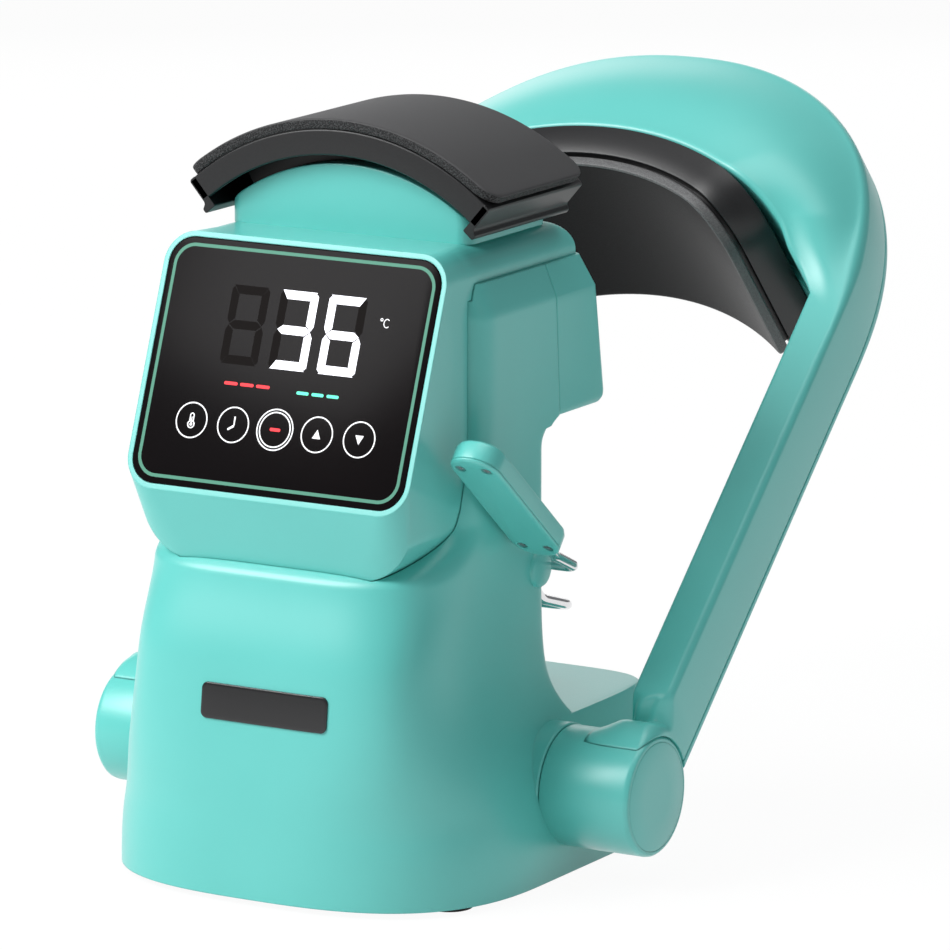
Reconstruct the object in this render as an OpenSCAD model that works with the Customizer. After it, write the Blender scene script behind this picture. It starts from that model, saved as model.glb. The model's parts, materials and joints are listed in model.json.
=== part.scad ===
// Cap heat press with a padded head form and a curved heated platen on a tilting arm.
// Millimetres, +Z up, feet on z = 0, origin under the middle of the base, front towards -Y.
// The arm is drawn in its open position.

/* [Base and column] */
// Width of the base at its foot
base_w = 206; // [200:1:212]
// Distance from the origin to the front of the base
base_front = 117; // [112:1:122]
// Distance from the origin to the back of the base
base_back = 116.5; // [112:0.5:122]
// Height of the flat platform behind the column
platform_z = 72; // [70:0.5:76]
// Rounding of the edge round the platform
platform_edge = 7; // [4:0.5:9]
// Height over which the base flares out of the column
flare_h = 74; // [70:0.5:78]
// Width of the column
column_w = 160; // [157:1:163]
// Back face of the column
column_back = 16; // [12:0.5:18]
// Lean of the column's front face up to the head
front_lean = 15; // [12:0.5:18]
// Wall of the moulded covers
wall = 2.6; // [2:0.1:3]
// Height of the rubber feet
foot_h = 3; // [2:0.5:5]
// Radius of the rubber feet
foot_r = 11; // [8:0.5:13]
// Thickness of the bottom plate
plate_t = 2.6; // [2:0.1:4]

/* [Upper body] */
// Height of the overhanging cover's underside
overhang_z = 212; // [208:1:216]
// Back of the overhanging cover at its underside
overhang_back = 74; // [70:1:78]
// Height where the upper body's shoulder chamfer starts
shoulder_z = 268; // [264:1:270]
// Height of the upper body's rim
rim_z = 283; // [280:1:285]
// Half width of the upper body at its rim
rim_half = 74.5; // [74:0.5:76]

/* [Control head] */
// Width of the control head
head_w = 144.6; // [142:0.2:146]
// Bottom of the control head
head_bottom = 153; // [150:1:156]
// Radius of the head's lower corners
head_corner = 28; // [24:1:32]
// Radius of the deck's shoulders
deck_shoulder = 14; // [10:1:16]
// Rise of the deck under the pad above the upper body's rim
deck_rise = 16; // [14:0.5:19]
// Back end of the deck
deck_back = 57; // [54:1:60]
// Width of the bezel that holds the display
bezel_w = 151; // [148:0.5:154]
// Height of the bezel
bezel_h = 121; // [118:0.5:123]
// Corner radius of the bezel
bezel_r = 15.5; // [12:0.5:18]
// Lean of the display back from upright
display_lean = 20.5; // [18:0.5:23]
// Forward distance of the display's middle
display_y = 82; // [80:0.5:84]
// Height of the display's middle
display_z = 243; // [241:0.5:245]
// Width of the bezel's rim round the glass
bezel_rim = 2.8; // [2:0.1:4]
// Thickness of the display glass
glass_t = 2.4; // [2:0.1:3]
// Spacing of the touch keys
key_pitch = 22.4; // [20:0.1:24]
// Distance of the key row below the display's middle
key_drop = 27; // [24:0.5:30]

/* [Head form] */
// Drop below the deck of the axis that the pad and the closed platen curve about
curve_drop = 73; // [71:0.5:75]
// Outer radius of the pad tray
tray_r = 122; // [120:0.5:123]
// Thickness of the foam
foam_t = 5; // [3:0.5:6]
// Front edge of the pad
pad_front = -36.4; // [-39:0.2:-34]
// Back edge of the pad
pad_back = 49.3; // [46:0.1:51]
// Half angle of the pad about its axis
pad_angle = 41; // [39:0.5:42]
// Depth of the tray's rim
tray_rim = 12; // [10:0.5:13]
// Radius of the pedestal's arched top
pedestal_r = 105; // [102:0.5:107]
// Width of the pedestal
pedestal_w = 129.2; // [124:0.2:130]
// Front face of the pedestal
pedestal_front = -27.5; // [-30:0.5:-25]
// Back face of the pedestal
pedestal_back = 45; // [40:0.5:46]

/* [Arm] */
// Tilt of the open arm back from upright
arm_tilt = 47; // [44:0.5:50]
// Height of the arm's pivot
hub_z = 43.6; // [42:0.1:45]
// Place of the arm's pivot behind the origin
hub_y = 4.6; // [3:0.1:6]
// Radius of the arm's hubs
hub_r = 28.2; // [27:0.1:30]
// Distance from the middle to the outer face of the arm
arm_half = 146; // [144:0.5:148]
// Width of an arm leg from side to side
leg_w = 21; // [19:0.5:23]
// Front of the legs, measured forward of the pivot
leg_front = 24; // [22:0.5:26]
// Back of the legs, measured behind the pivot
leg_back = 13; // [12:0.5:15]
// Straight length of the legs above the pivot
leg_s = 255; // [250:1:258]
// Height of the arch above the legs
arch_h = 164; // [160:1:168]
// Place of the seam between the arm's two shells, behind the pivot
arm_seam = 9; // [7:0.5:10]
// Radius of the pivot axles
axle_r = 8; // [7:0.1:9]
// Radial running clearance of the axles
axle_fit = 0.05; // [0.03:0.01:0.09]

/* [Platen] */
// Gap between the closed platen and the bare pad
close_gap = 4; // [3:0.5:5]
// Thickness of the heated plate
platen_t = 5.2; // [4:0.1:6]
// Height of the groove between the heated plate and its housing
groove = 2.2; // [2:0.1:3]
// Radial depth of the platen's housing
housing_t = 17.3; // [16:0.1:18]
// Half angle of the platen about its axis
platen_angle = 38.5; // [37:0.5:39]
// Front edge of the platen, forward of the pivot
platen_front = 57; // [55:0.5:58]
// Back edge of the platen, behind the pivot
platen_back = 47; // [45:0.5:48]

/* [Lever and bail] */
// Height of the bail's axis
bail_z = 143; // [140:0.5:146]
// Clearance between the bail wire and the column
bail_off = 2; // [1.5:0.1:3]
// Diameter of the bail wire
wire_d = 5; // [4:0.1:5.5]
// Distance of the paddle's middle from the body's middle
paddle_x = 94.5; // [94:0.1:96]
// Width of the paddle
paddle_w = 25; // [22:0.5:26]
// Thickness of the paddle
paddle_t = 12; // [10:0.5:13]
// Length of the paddle
paddle_l = 90; // [84:1:94]
// Rise of the paddle above level
paddle_rise = 39.5; // [36:0.5:42]
// Half width of the bail across its legs
bail_half = 62; // [56:0.5:64]
// Distance of the bail's crossbar behind its axis
bail_reach = 61.5; // [58:0.5:64]

/* [Back panel] */
// Sideways place of the power inlet
inlet_x = -40; // [-50:1:-30]
// Sideways place of the power switch
switch_x = 34; // [28:1:44]
// Height of the inlet and the switch
socket_z = 36; // [32:0.5:40]

/* [Hidden] */
$fn = 48;

teal = "#66CFC5";
black = "#1D1E20";
steel = "#B9BCC0";
seam = 0.35;            // gap along the seams between covers
touch = 0.02;           // play between pieces of one body that seat round each other
deck_z = rim_z + deck_rise;
curve_z = deck_z - curve_drop;
column_y = -22;         // middle of the column's rounded section
top_front = 46;         // front of the column behind the head
ring_n = 36;            // points round a ring of the body

// ---------- shared shapes ----------

function bump(v, p) = sign(v) * pow(abs(v), p);
function ease(t) = let (c = min(max(t, 0), 1)) c * c * (3 - 2 * c);
function mix(a, b, t) = a + (b - a) * t;

// Half width of the body at height z
function body_half(z) =
  z > shoulder_z ? mix(column_w / 2, rim_half, (z - shoulder_z) / (rim_z - shoulder_z)) :
  column_w / 2 + (base_w - column_w) / 2 * exp(-pow(z / flare_h, 3));

// Front of the body at height z
function body_front(z) =
  let (lean = -base_front + front_lean * pow(z / 150, 2))
  mix(lean, -top_front, ease((z - 150) / 55));

// Back of the body at height z: the base up to the platform, then the column, then the overhang
function body_back(z) =
  z <= platform_z - platform_edge ? base_back :
  z <= platform_z ? base_back - platform_edge
    + sqrt(max(0, pow(platform_edge, 2) - pow(z - platform_z + platform_edge, 2))) :
  z <= 105 ? column_back + 14 * pow(1 - (z - platform_z) / (105 - platform_z), 2.5) :
  z <= overhang_z - 14 ? column_back :
  z <= overhang_z ? column_back + 13.5 * pow((z - overhang_z + 14) / 14, 2.6) :
  mix(column_back + 13.5, column_back + 9, (z - overhang_z) / (rim_z - overhang_z));

function front_power(z) = 2.9 + 1.1 * ease((z - 85) / 60);
function back_power(z) = z > overhang_z - 4 ? 24 : 8;

// One ring of the body at height z, drawn in by g; zb is the height whose back edge it takes
function body_ring(z, g, zb) =
  let (w = body_half(z) - g, f = column_y - body_front(z) - g, b = body_back(zb) - column_y - g)
  [for (i = [0:ring_n - 1])
    let (a = 360 * (i + 0.5) / ring_n, p = sin(a) < 0 ? front_power(z) : back_power(zb))
    [w * bump(cos(a), 2 / p), column_y + (sin(a) < 0 ? f : b) * bump(sin(a), 2 / p), z]];

// Solid through a stack of rings that all have the same number of points
module loft(rings) {
  n = len(rings[0]);
  m = len(rings);
  polyhedron(
    points = [for (r = rings) each r],
    faces = [
      [for (i = [0:n - 1]) i],
      [for (i = [n - 1:-1:0]) (m - 1) * n + i],
      for (k = [0:m - 2], i = [0:n - 1])
        let (j = (i + 1) % n) [k * n + i, (k + 1) * n + i, (k + 1) * n + j, k * n + j]
    ]);
}

// Plate w by h with rounded corners, standing on z = 0
module round_plate(w, h, t, r) {
  translate([-w / 2 + r, -h / 2, 0]) cube([w - 2 * r, h, t]);
  translate([-w / 2, -h / 2 + r, 0]) cube([w, h - 2 * r, t]);
  for (x = [-1, 1], y = [-1, 1])
    translate([x * (w / 2 - r), y * (h / 2 - r), 0]) cylinder(h = t, r = r);
}

// Band of a tube whose axis runs along Y, from r1 to r2 and y1 to y2, to both sides of the top
module arc_band(r1, r2, half_angle, y1, y2) {
  rotate([-90, 0, 0]) rotate([0, 0, -90 - half_angle])
    rotate_extrude(angle = 2 * half_angle, $fn = 180)
      translate([r1, y1]) square([r2 - r1, y2 - y1]);
}

// Bar along X, centred
module x_rod(r, l) { rotate([0, 90, 0]) cylinder(h = l, r = r, center = true); }

// Cylinder along +X or -X from x1 to x2 on the arm's axis, one on each side
module side_rods(r, x1, x2) {
  for (s = [-1, 1]) translate([s * (x1 + x2) / 2, 0, 0]) x_rod(r, x2 - x1);
}

function unit(v) = v / norm(v);

// Centre line through pts with its corners rounded to radius bend, each in steps + 1 points
function bent_path(pts, bend, steps) = [
  pts[0],
  for (i = [1:len(pts) - 2])
    let (u = unit(pts[i] - pts[i - 1]), v = unit(pts[i + 1] - pts[i]), turn = acos(u * v),
      inward = unit(v - u * (u * v)), start = pts[i] - u * bend[i - 1] * tan(turn / 2))
    for (k = [0:steps]) let (a = turn * k / steps)
      start + bend[i - 1] * (sin(a) * u + (1 - cos(a)) * inward),
  pts[len(pts) - 1]];

// Direction of a path at its point i
function heading(path, i) = unit(path[min(i + 1, len(path) - 1)] - path[max(i - 1, 0)]);

// Side vectors along a path, each turned as little as possible from the one before
function sides(path, i, n) =
  i == len(path) ? [] :
  let (t = heading(path, i), s = unit(n - t * (n * t))) concat([s], sides(path, i + 1, s));

// Round tube along a path, with m flats
module tube(path, r, m, start_side) {
  side = sides(path, 0, start_side);
  loft([for (i = [0:len(path) - 1])
    let (t = heading(path, i), v = cross(t, side[i]))
    [for (k = [0:m - 1]) path[i] + r * (cos(360 * k / m) * side[i] + sin(360 * k / m) * v)]]);
}

// ---------- control head form ----------

module display_frame() { translate([0, -display_y, display_z]) rotate([90 - display_lean, 0, 0]) children(); }

// Front block of the head, grown by g, or drawn in where g is negative; back is its open side
module head_front(g, depth, back) {
  w = head_w / 2 + g;
  hull() {
    display_frame() translate([0, 0, -depth - 1])
      round_plate(bezel_w + 2 * g, bezel_h + 2 * g, 1, bezel_r + g, $fn = 32);
    for (s = [-1, 1]) {
      translate([s * (w - head_corner), -94 - g, head_bottom - g + 1])
        rotate([90, 0, 0]) cylinder(h = 1, r = 1, $fn = 32);
      translate([s * (w - head_corner), back, head_bottom - g + head_corner])
        rotate([90, 0, 0]) cylinder(h = back + 72, r = head_corner, $fn = 32);
      translate([s * (w - deck_shoulder), back, deck_z + g - deck_shoulder])
        rotate([90, 0, 0]) cylinder(h = 1, r = deck_shoulder, $fn = 32);
    }
  }
}

// Deck that runs back over the body, grown by g
module head_deck(g) {
  w = head_w / 2 + g;
  low = rim_z - 7 - g;
  intersection() {
    union() {
      translate([-w, -52, low]) cube([2 * w, 130, deck_z + g - deck_shoulder - low]);
      translate([-w + deck_shoulder, -52, low]) cube([2 * (w - deck_shoulder), 130, deck_z + g - low]);
      for (s = [-1, 1]) translate([s * (w - deck_shoulder), 78, deck_z + g - deck_shoulder])
        rotate([90, 0, 0]) cylinder(h = 130, r = deck_shoulder);
    }
    union() {
      translate([-80, -60, low]) cube([160, 60 + deck_back + g - 13, deck_z + g - low]);
      translate([-80, -60, low]) cube([160, 60 + deck_back + g, rim_z + 2 - low]);
      translate([0, deck_back + g - 13, deck_z + g - 13]) x_rod(13, 160);
    }
  }
}

// Overhanging cover's outer form, drawn in by g
module rear_form(g) {
  h = column_w / 2 - g;
  front = column_back + 9;
  back = overhang_back - g;
  low = overhang_z + g;
  intersection() {
    translate([-100, 0, 0]) rotate([90, 0, 90]) linear_extrude(200)
      polygon([[front + 4.5 * (g > 0 ? 0 : 1), low], [back - 5, low], [back - 1.2, low + 1.5],
        [back, low + 5], [back - 8, shoulder_z], [back - 14, rim_z - g], [front, rim_z - g]]);
    translate([0, 100, 0]) rotate([90, 0, 0]) linear_extrude(200)
      polygon([[-h, low], [h, low], [h, shoulder_z - g / 2], [rim_half - g, rim_z],
        [-rim_half + g, rim_z], [-h, shoulder_z - g / 2]]);
    translate([0, 0, low - 1]) linear_extrude(100)
      polygon([[-h, 0], [h, 0], [h, front + 20], [h - 2, back - 13], [h - 5, back - 4],
        [h - 13, back], [-h + 13, back], [-h + 5, back - 4], [-h + 2, back - 13],
        [-h, front + 20]]);
  }
}

// ---------- covers ----------

shell_z = [foot_h, 14, 26, 38, 48, 58, platform_z - platform_edge, platform_z - 3.2,
  platform_z - 0.8, platform_z, platform_z + 0.3, 76.5, 82, 90, 105, 122, 138, 150, 160, 170,
  180, 190, overhang_z - 14, overhang_z - 8, overhang_z - 3, overhang_z, shoulder_z, rim_z];
cavity_z = [foot_h - 1, 26, 48, 60, platform_z - platform_edge, platform_z - wall,
  platform_z - wall + 0.2, 82, 90, 105, 135, 155, 180, 200, overhang_z, shoulder_z, rim_z + 1];

module main_shell() {
  color(teal)
  difference() {
    union() {
      loft([for (z = shell_z) body_ring(z, 0, z)]);
      translate([0, hub_y, hub_z]) side_rods(hub_r + 0.8, body_half(hub_z) - 12, hub_face - 0.5);
      for (s = [-1, 1]) translate([s * (column_w / 2 - 1), bail_y - 13, bail_z]) x_rod(9, 5);
    }
    loft([for (z = cavity_z)
      body_ring(z, wall, z < platform_z - wall + 0.1 ? min(z, platform_z - platform_edge) : z + wall)]);
    head_front(seam, 0, -42);
    head_deck(seam);
    translate([0, hub_y, hub_z]) {
      x_rod(bush_r + 0.3, 2 * arm_half);
      side_rods(hub_r + 0.8, hub_face - 0.5, arm_half);
    }
    translate([-70, column_back, overhang_z + 6]) cube([140, 20, shoulder_z - overhang_z - 2]);
    translate([inlet_x, base_back, socket_z]) rotate([90, 0, 0])
      translate([0, 0, -5]) round_plate(27.6, 20.6, 20, 3);
    translate([switch_x, base_back, socket_z]) cube([13.4, 20, 19.4], center = true);
  }
}

module rear_housing() {
  color(teal)
  difference() {
    translate([0, 0.3, 0]) rear_form(0);
    difference() {
      rear_form(wall);
      translate([-100, overhang_back - 20, rim_z - 8]) cube([200, 40, 20]);
    }
    head_deck(seam);
    translate([-70, column_back, overhang_z + 6]) cube([140, 20, shoulder_z - overhang_z - 2]);
  }
}

module bottom_plate() {
  color(black)
  difference() {
    translate([0, 0, foot_h]) linear_extrude(plate_t)
      polygon([for (p = body_ring(foot_h, wall + 0.4, foot_h)) [p[0], p[1]]]);
    for (p = foot_spots) translate([p[0] * 0.72, p[1] * 0.8, 0]) cylinder(h = 20, r = 1.7);
    for (x = [-30:12:30]) translate([x, 60, foot_h - 1]) cube([4, 36, plate_t + 2]);
  }
}

foot_spots = [[-79, -70], [79, -70], [-84, 92], [84, 92]];

module rubber_feet() {
  color("#222222")
  for (p = foot_spots) translate([p[0], p[1], 0]) cylinder(h = foot_h, r = foot_r);
}

module base_screws() {
  color(steel)
  for (p = foot_spots) translate([p[0] * 0.72, p[1] * 0.8, 0]) {
    translate([0, 0, foot_h - 1.6]) cylinder(h = 1.6, r = 3.2);
    translate([0, 0, foot_h - 0.1]) cylinder(h = plate_t + frame_t + 3, r = 1.6);
  }
}

// ---------- frame and pivot ----------

frame_t = 2;
ear_x = 84;
hub_face = 99.4;
bush_r = 12;
frame_z = foot_h + plate_t;

module base_frame() {
  color(steel)
  difference() {
    union() {
      translate([-ear_x, -64, frame_z]) cube([2 * ear_x, 146, frame_t]);
      for (s = [-1, 1]) translate([s * (ear_x - 1.5), hub_y, 0]) {
        translate([-1.5, -26, frame_z]) cube([3, 52, hub_z - frame_z]);
        translate([0, 0, hub_z]) x_rod(26, 3);
      }
    }
    translate([0, hub_y, hub_z]) x_rod(bush_r + touch, 240);
    for (p = foot_spots) translate([p[0] * 0.72, p[1] * 0.8, 0]) cylinder(h = 20, r = 1.7);
  }
}

module pivot_bushes() {
  color("#C9A24B")
  translate([0, hub_y, hub_z]) difference() {
    union() {
      side_rods(bush_r, ear_x - 3, hub_face - 0.4);
      side_rods(bush_r + 4, ear_x - 5, ear_x - 3);
    }
    x_rod(axle_r + axle_fit, 240);
  }
}

module pivot_axles() {
  color(steel)
  arm_frame() side_rods(axle_r, ear_x - 16, arm_half - 8);
}

module friction_washers() {
  color("#8C8F94")
  arm_frame() difference() {
    side_rods(15, ear_x - 8.3, ear_x - 5.3);
    x_rod(axle_r + touch, 240);
  }
}

module pivot_nuts() {
  color(steel)
  arm_frame() difference() {
    for (s = [-1, 1]) translate([s * (ear_x - 11.3), 0, 0]) rotate([0, 90, 0])
      cylinder(h = 6, r = 14, center = true, $fn = 6);
    x_rod(axle_r + touch, 240);
  }
}

// ---------- power parts ----------

module power_board() {
  color("#2F6B4A")
  translate([0, 40, frame_z + frame_t]) {
    for (x = [-40, 40], y = [-30, 30]) translate([x, y, 0]) cylinder(h = 6, r = 3);
    translate([-46, -36, 6]) cube([92, 72, 1.6]);
    translate([-38, -28, 7.6]) cube([19, 15, 16]);
    translate([-8, -26, 7.6]) cylinder(h = 20, r = 8);
    translate([14, 10, 7.6]) cube([26, 18, 12]);
    translate([12, -30, 7.6]) cube([24, 6, 24]);
  }
}

module transformer() {
  color("#C8B560")
  translate([-28, 46, frame_z + frame_t + 7.6]) cube([30, 24, 22]);
}

module power_inlet() {
  color(black)
  translate([inlet_x, base_back, socket_z]) rotate([-90, 0, 0]) difference() {
    union() {
      translate([0, 0, -20]) round_plate(27, 20, 20.2, 3);
      translate([0, 0, 0.05]) round_plate(31, 24, 2, 3.5);
    }
    translate([0, 0, -15]) round_plate(23.6, 16.4, 20, 3);
  }
}

module rocker_switch() {
  color(black)
  translate([switch_x, base_back, socket_z]) rotate([-90, 0, 0]) difference() {
    union() {
      translate([-6.4, -9.4, -18]) cube([12.8, 18.8, 18.2]);
      translate([0, 0, 0.05]) round_plate(15, 21, 2, 1.5);
    }
    translate([-5, -8, -6]) cube([10, 16, 10]);
  }
}

rocker_pin = 1.2;
module power_rocker() {
  color("#2A2B2D")
  translate([switch_x, base_back - 1.5, socket_z]) intersection() {
    translate([-4.6, 0, 0]) rotate([90, 0, 90]) linear_extrude(9.2)
      polygon([[-2.2, -7], [2.4, -7], [3.2, 0], [5.2, 7], [-2.2, 7], [-3, 0]]);
    x_rod(7.7, 20);
  }
}

// ---------- badge and display ----------

badge_w = 67;
badge_h = 16.5;
badge_x = 5.6;
badge_z = 93;
module badge_plate() {
  color(black)
  translate([badge_x, body_front(badge_z) - 0.9, badge_z]) rotate([90, 0, 0])
    round_plate(badge_w, badge_h, 1, 3);
}

glass_w = bezel_w - 2 * bezel_rim;
glass_h = bezel_h - 2 * bezel_rim;
board_d = 14;
module display_cutouts() {
  display_frame() {
    translate([0, 0, -glass_t]) round_plate(glass_w + 0.4, glass_h + 0.4, 10, bezel_r - bezel_rim);
    translate([-40, -4, -14]) cube([80, 44, 14]);
    for (i = [-2:2]) translate([i * key_pitch, -key_drop, -14]) cylinder(h = 14, r = 6);
  }
}

module control_head() {
  color(teal)
  difference() {
    union() {
      difference() {
        union() {
          head_front(0, 0, -42);
          head_deck(0);
        }
        head_front(-wall, glass_t + wall, -41.9);
        intersection() {
          head_deck(-wall);
          translate([-100, -100, 200]) cube([200, 200, 200]);
        }
        translate([-60, -44, rim_z - 10]) cube([120, deck_back - 2, 10]);
      }
      display_frame() for (x = [-58, 58], y = [-44, 44]) translate([x, y, -board_d])
        cylinder(h = board_d - glass_t - 0.5, r = 3.4);
    }
    display_cutouts();
  }
}

module display_panel() {
  color("#101113")
  display_frame() translate([0, 0, -glass_t]) round_plate(glass_w, glass_h, glass_t + 0.25, bezel_r - bezel_rim - 0.2);
}

module control_board() {
  color("#2F6B4A")
  display_frame() translate([-64, -50, -board_d - 1.6]) cube([128, 100, 1.6]);
}

module display_module() {
  color("#E8E8E8")
  display_frame() translate([-38, -2, -board_d]) cube([76, 40, board_d - glass_t - 0.3]);
}

module touch_springs() {
  color(steel)
  display_frame() for (i = [-2:2]) translate([i * key_pitch, -key_drop, -board_d])
    cylinder(h = board_d - glass_t - 0.05, r = 4.5);
}

module buzzer() {
  color(black)
  display_frame() translate([40, -20, -board_d - 1.6 - 7]) cylinder(h = 7, r = 6);
}

// ---------- head form ----------

module curve_frame() { translate([0, 0, curve_z]) children(); }

module pad_pedestal() {
  color(teal)
  difference() {
    intersection() {
      curve_frame() rotate([90, 0, 0]) cylinder(h = 200, r = pedestal_r, center = true, $fn = 180);
      translate([0, (pedestal_front + pedestal_back) / 2, deck_z])
        round_plate(pedestal_w, pedestal_back - pedestal_front, 60, 7);
    }
    intersection() {
      curve_frame() rotate([90, 0, 0])
        cylinder(h = 200, r = pedestal_r - wall, center = true, $fn = 180);
      translate([0, (pedestal_front + pedestal_back) / 2, deck_z - 1])
        round_plate(pedestal_w - 2 * wall, pedestal_back - pedestal_front - 2 * wall, 60, 5);
    }
    screw_rods(1.8, -20, 10);
  }
}

tray_wall = 3;
tray_ribs = [-16, 24];  // front faces of the ribs that carry the tray
rib_t = 8;
tray_end = [tray_r * sin(pad_angle), tray_r * cos(pad_angle)];
tray_hook = [[-12.5, -17], [-6.5, -16.5], [-5, -11], [2.5, -5.5], [-0.6, -1], [-12.5, 0]];
module pad_tray() {
  color(black)
  difference() {
    tray_body();
    screw_rods(1.7 + touch, -10, 4.1);
  }
}

module tray_body() {
  curve_frame() {
    arc_band(tray_r - tray_wall, tray_r, pad_angle, pad_front, pad_back);
    arc_band(tray_r - tray_rim, tray_r - tray_wall, pad_angle, pad_front, pad_front + tray_wall);
    arc_band(tray_r - tray_rim, tray_r - tray_wall, pad_angle, pad_back - tray_wall, pad_back);
    for (y = tray_ribs) arc_band(pedestal_r, tray_r - tray_wall, 33, y, y + rib_t);
    for (s = [-1, 1]) translate([0, pad_back, 0]) rotate([90, 0, 0])
      linear_extrude(pad_back - pad_front)
        polygon([for (p = tray_hook) [s * (tray_end[0] + p[0]), tray_end[1] + p[1]]]);
  }
}

foam_angle = pad_angle - 1.2;
module foam_pad() {
  color("#3A3B3D")
  intersection() {
    curve_frame() arc_band(tray_r, tray_r + foam_t, foam_angle, pad_front, pad_back);
    translate([0, (pad_front + pad_back) / 2, curve_z + tray_r / 2])
      round_plate(2 * (tray_r + foam_t) * sin(foam_angle) + 1, pad_back - pad_front, tray_r, 9);
  }
}

// Rods on the tray's four screw lines, from z1 to z2 about the pedestal's top
module screw_rods(r, z1, z2) {
  for (x = [-40, 40], y = tray_ribs)
    translate([x, y + rib_t / 2, curve_z + sqrt(pow(pedestal_r, 2) - x * x) + z1])
      cylinder(h = z2 - z1, r = r);
}

module tray_screws() {
  color(steel) {
    screw_rods(1.7, -6, 4);
    screw_rods(3.2, -9, -6);
  }
}

// ---------- arm ----------

module arm_frame() { translate([0, hub_y, hub_z]) rotate([-arm_tilt, 0, 0]) children(); }

curve_s = curve_z - hub_z;
plate_r = tray_r + foam_t + close_gap;
housing_r = plate_r + platen_t + groove + housing_t;
arch_r = housing_r + 0.3;
leg_in = arm_half - leg_w;
arch_turn = asin(leg_in / arch_r);
arch_n = 13;
arm_wall = 2.8;

// Stations of the arm from the right hub over the arch to the left hub:
// [outer x, outer s, inner x, inner s, front outer, front inner, back outer, back inner]
function leg_station(s) = [arm_half, s, leg_in, s, -leg_front, -leg_front, leg_back, leg_back];
function arch_station(u) =
  let (t = 90 * min(u, 1.999999), side = u <= 1 ? 1 : -1, turn = arch_turn * (1 - u),
    v = 1 - abs(1 - u), flare = ease(v / 0.3))
  [arm_half * bump(cos(t), 0.9), leg_s + arch_h * pow(sin(t), 0.9),
    arch_r * sin(turn), curve_s + arch_r * cos(turn),
    mix(-leg_front, -14, ease(v / 0.6)), mix(-leg_front, -platen_front, flare),
    leg_back, mix(leg_back, platen_back, flare)];
leg_stops = [4, 90, 170, leg_s - 20];
function flip(r) = [-r[0], r[1], -r[2], r[3], r[4], r[5], r[6], r[7]];
arm_stations = concat(
  [for (s = leg_stops) leg_station(s)],
  [for (k = [0:2 * arch_n]) arch_station(k / arch_n)],
  [for (i = [len(leg_stops) - 1:-1:0]) flip(leg_station(leg_stops[i]))]);

// Point of a station, w across from the outer to the inner side and d back from the pivot
function across(st, w, d) = [mix(st[0], st[2], w), d, mix(st[1], st[3], w)];
function span(st) = norm([st[0] - st[2], st[1] - st[3]]);

function front_section(st) =
  let (e = 5 / span(st), k = arm_wall / span(st), drop = (st[5] - st[4]) * 0.12,
    b = arm_seam - 0.1, o = st[4], i = st[5])
  [across(st, 0, b), across(st, 0, o + 5), across(st, 0.3 * e, o + 1.5), across(st, e, o + drop),
    across(st, 0.5, mix(o, i, 0.55)), across(st, 1 - 0.6 * e, i + 0.4), across(st, 1, i + 2.5),
    across(st, 1, b), across(st, 1 - k, b), across(st, 1 - k, i + 1.4 * arm_wall),
    across(st, k, o + 1.6 * arm_wall), across(st, k, b)];

function back_section(st) =
  let (e = 3 / span(st), k = arm_wall / span(st), b = arm_seam + 0.1, o = st[6], i = st[7])
  [across(st, 0, b), across(st, 0, o - 1.5), across(st, e, o + (i - o) * 0.1),
    across(st, 1 - e, i), across(st, 1, i - 1.5), across(st, 1, b), across(st, 1 - k, b),
    across(st, 1 - k, i - arm_wall), across(st, k, o - arm_wall), across(st, k, b)];

function backwards(l) = [for (i = [len(l) - 1:-1:0]) l[i]];

module arm_front_shell() {
  color(teal)
  arm_frame() difference() {
    loft([for (st = arm_stations) backwards(front_section(st))]);
    side_rods(hub_r + touch, hub_face, arm_half + 1);
  }
}

// Hub cups: round shells closed on the column's side, with a boss that turns on the axle
module arm_hubs() {
  color(teal)
  arm_frame() difference() {
    union() {
      difference() {
        side_rods(hub_r, hub_face, arm_half - 0.3);
        side_rods(hub_r - arm_wall, hub_face + arm_wall, arm_half + 1);
      }
      side_rods(axle_r + 5, hub_face + arm_wall - 0.5, arm_half - 8);
    }
    x_rod(axle_r + touch, 400);
  }
}

module arm_back_cover() {
  color(teal)
  arm_frame() difference() {
    loft([for (st = arm_stations) back_section(st)]);
    side_rods(hub_r + 0.2, hub_face, arm_half + 1);
    cover_rods(3 + touch, leg_back - 1.6, leg_back + 1);
  }
}

// Rods on the back cover's screw lines, from y1 to y2
module cover_rods(r, y1, y2) {
  for (x = [-1, 1], s = [70, 150, 230])
    translate([x * (arm_half - leg_w / 2), y1, s]) rotate([-90, 0, 0]) cylinder(h = y2 - y1, r = r);
}

module arm_cover_screws() {
  color(steel)
  arm_frame() cover_rods(3, leg_back - 1.6, leg_back - 0.2);
}

module hub_covers() {
  color(teal)
  arm_frame() side_rods(hub_r - arm_wall - 0.1, arm_half - 7, arm_half);
}

// ---------- platen ----------

module platen_frame() { arm_frame() translate([0, 0, curve_s]) children(); }

housing_wall = 2.5;
module platen_housing() {
  color(black)
  platen_frame() difference() {
    arc_band(plate_r + platen_t + groove, housing_r, platen_angle + 1, -platen_front, platen_back);
    arc_band(plate_r, housing_r - housing_wall, platen_angle - 0.2, -platen_front + housing_wall,
      platen_back - housing_wall);
    platen_rods(2 + touch, housing_r - 4, housing_r + 1);
  }
}

// Rods on the platen's screw lines, from radius r1 to r2
module platen_rods(r, r1, r2) {
  for (a = [-24, 24], d = [-34, 26]) rotate([0, a, 0]) translate([0, d, r1]) cylinder(h = r2 - r1, r = r);
}

module heating_plate() {
  color("#2B2C2E")
  platen_frame() arc_band(plate_r, plate_r + platen_t, platen_angle, -platen_front, platen_back);
}

module heater_film() {
  color("#B5651D")
  platen_frame() arc_band(plate_r + platen_t, plate_r + platen_t + 0.8, platen_angle - 1.5,
    -platen_front + 4, platen_back - 4);
}

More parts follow.
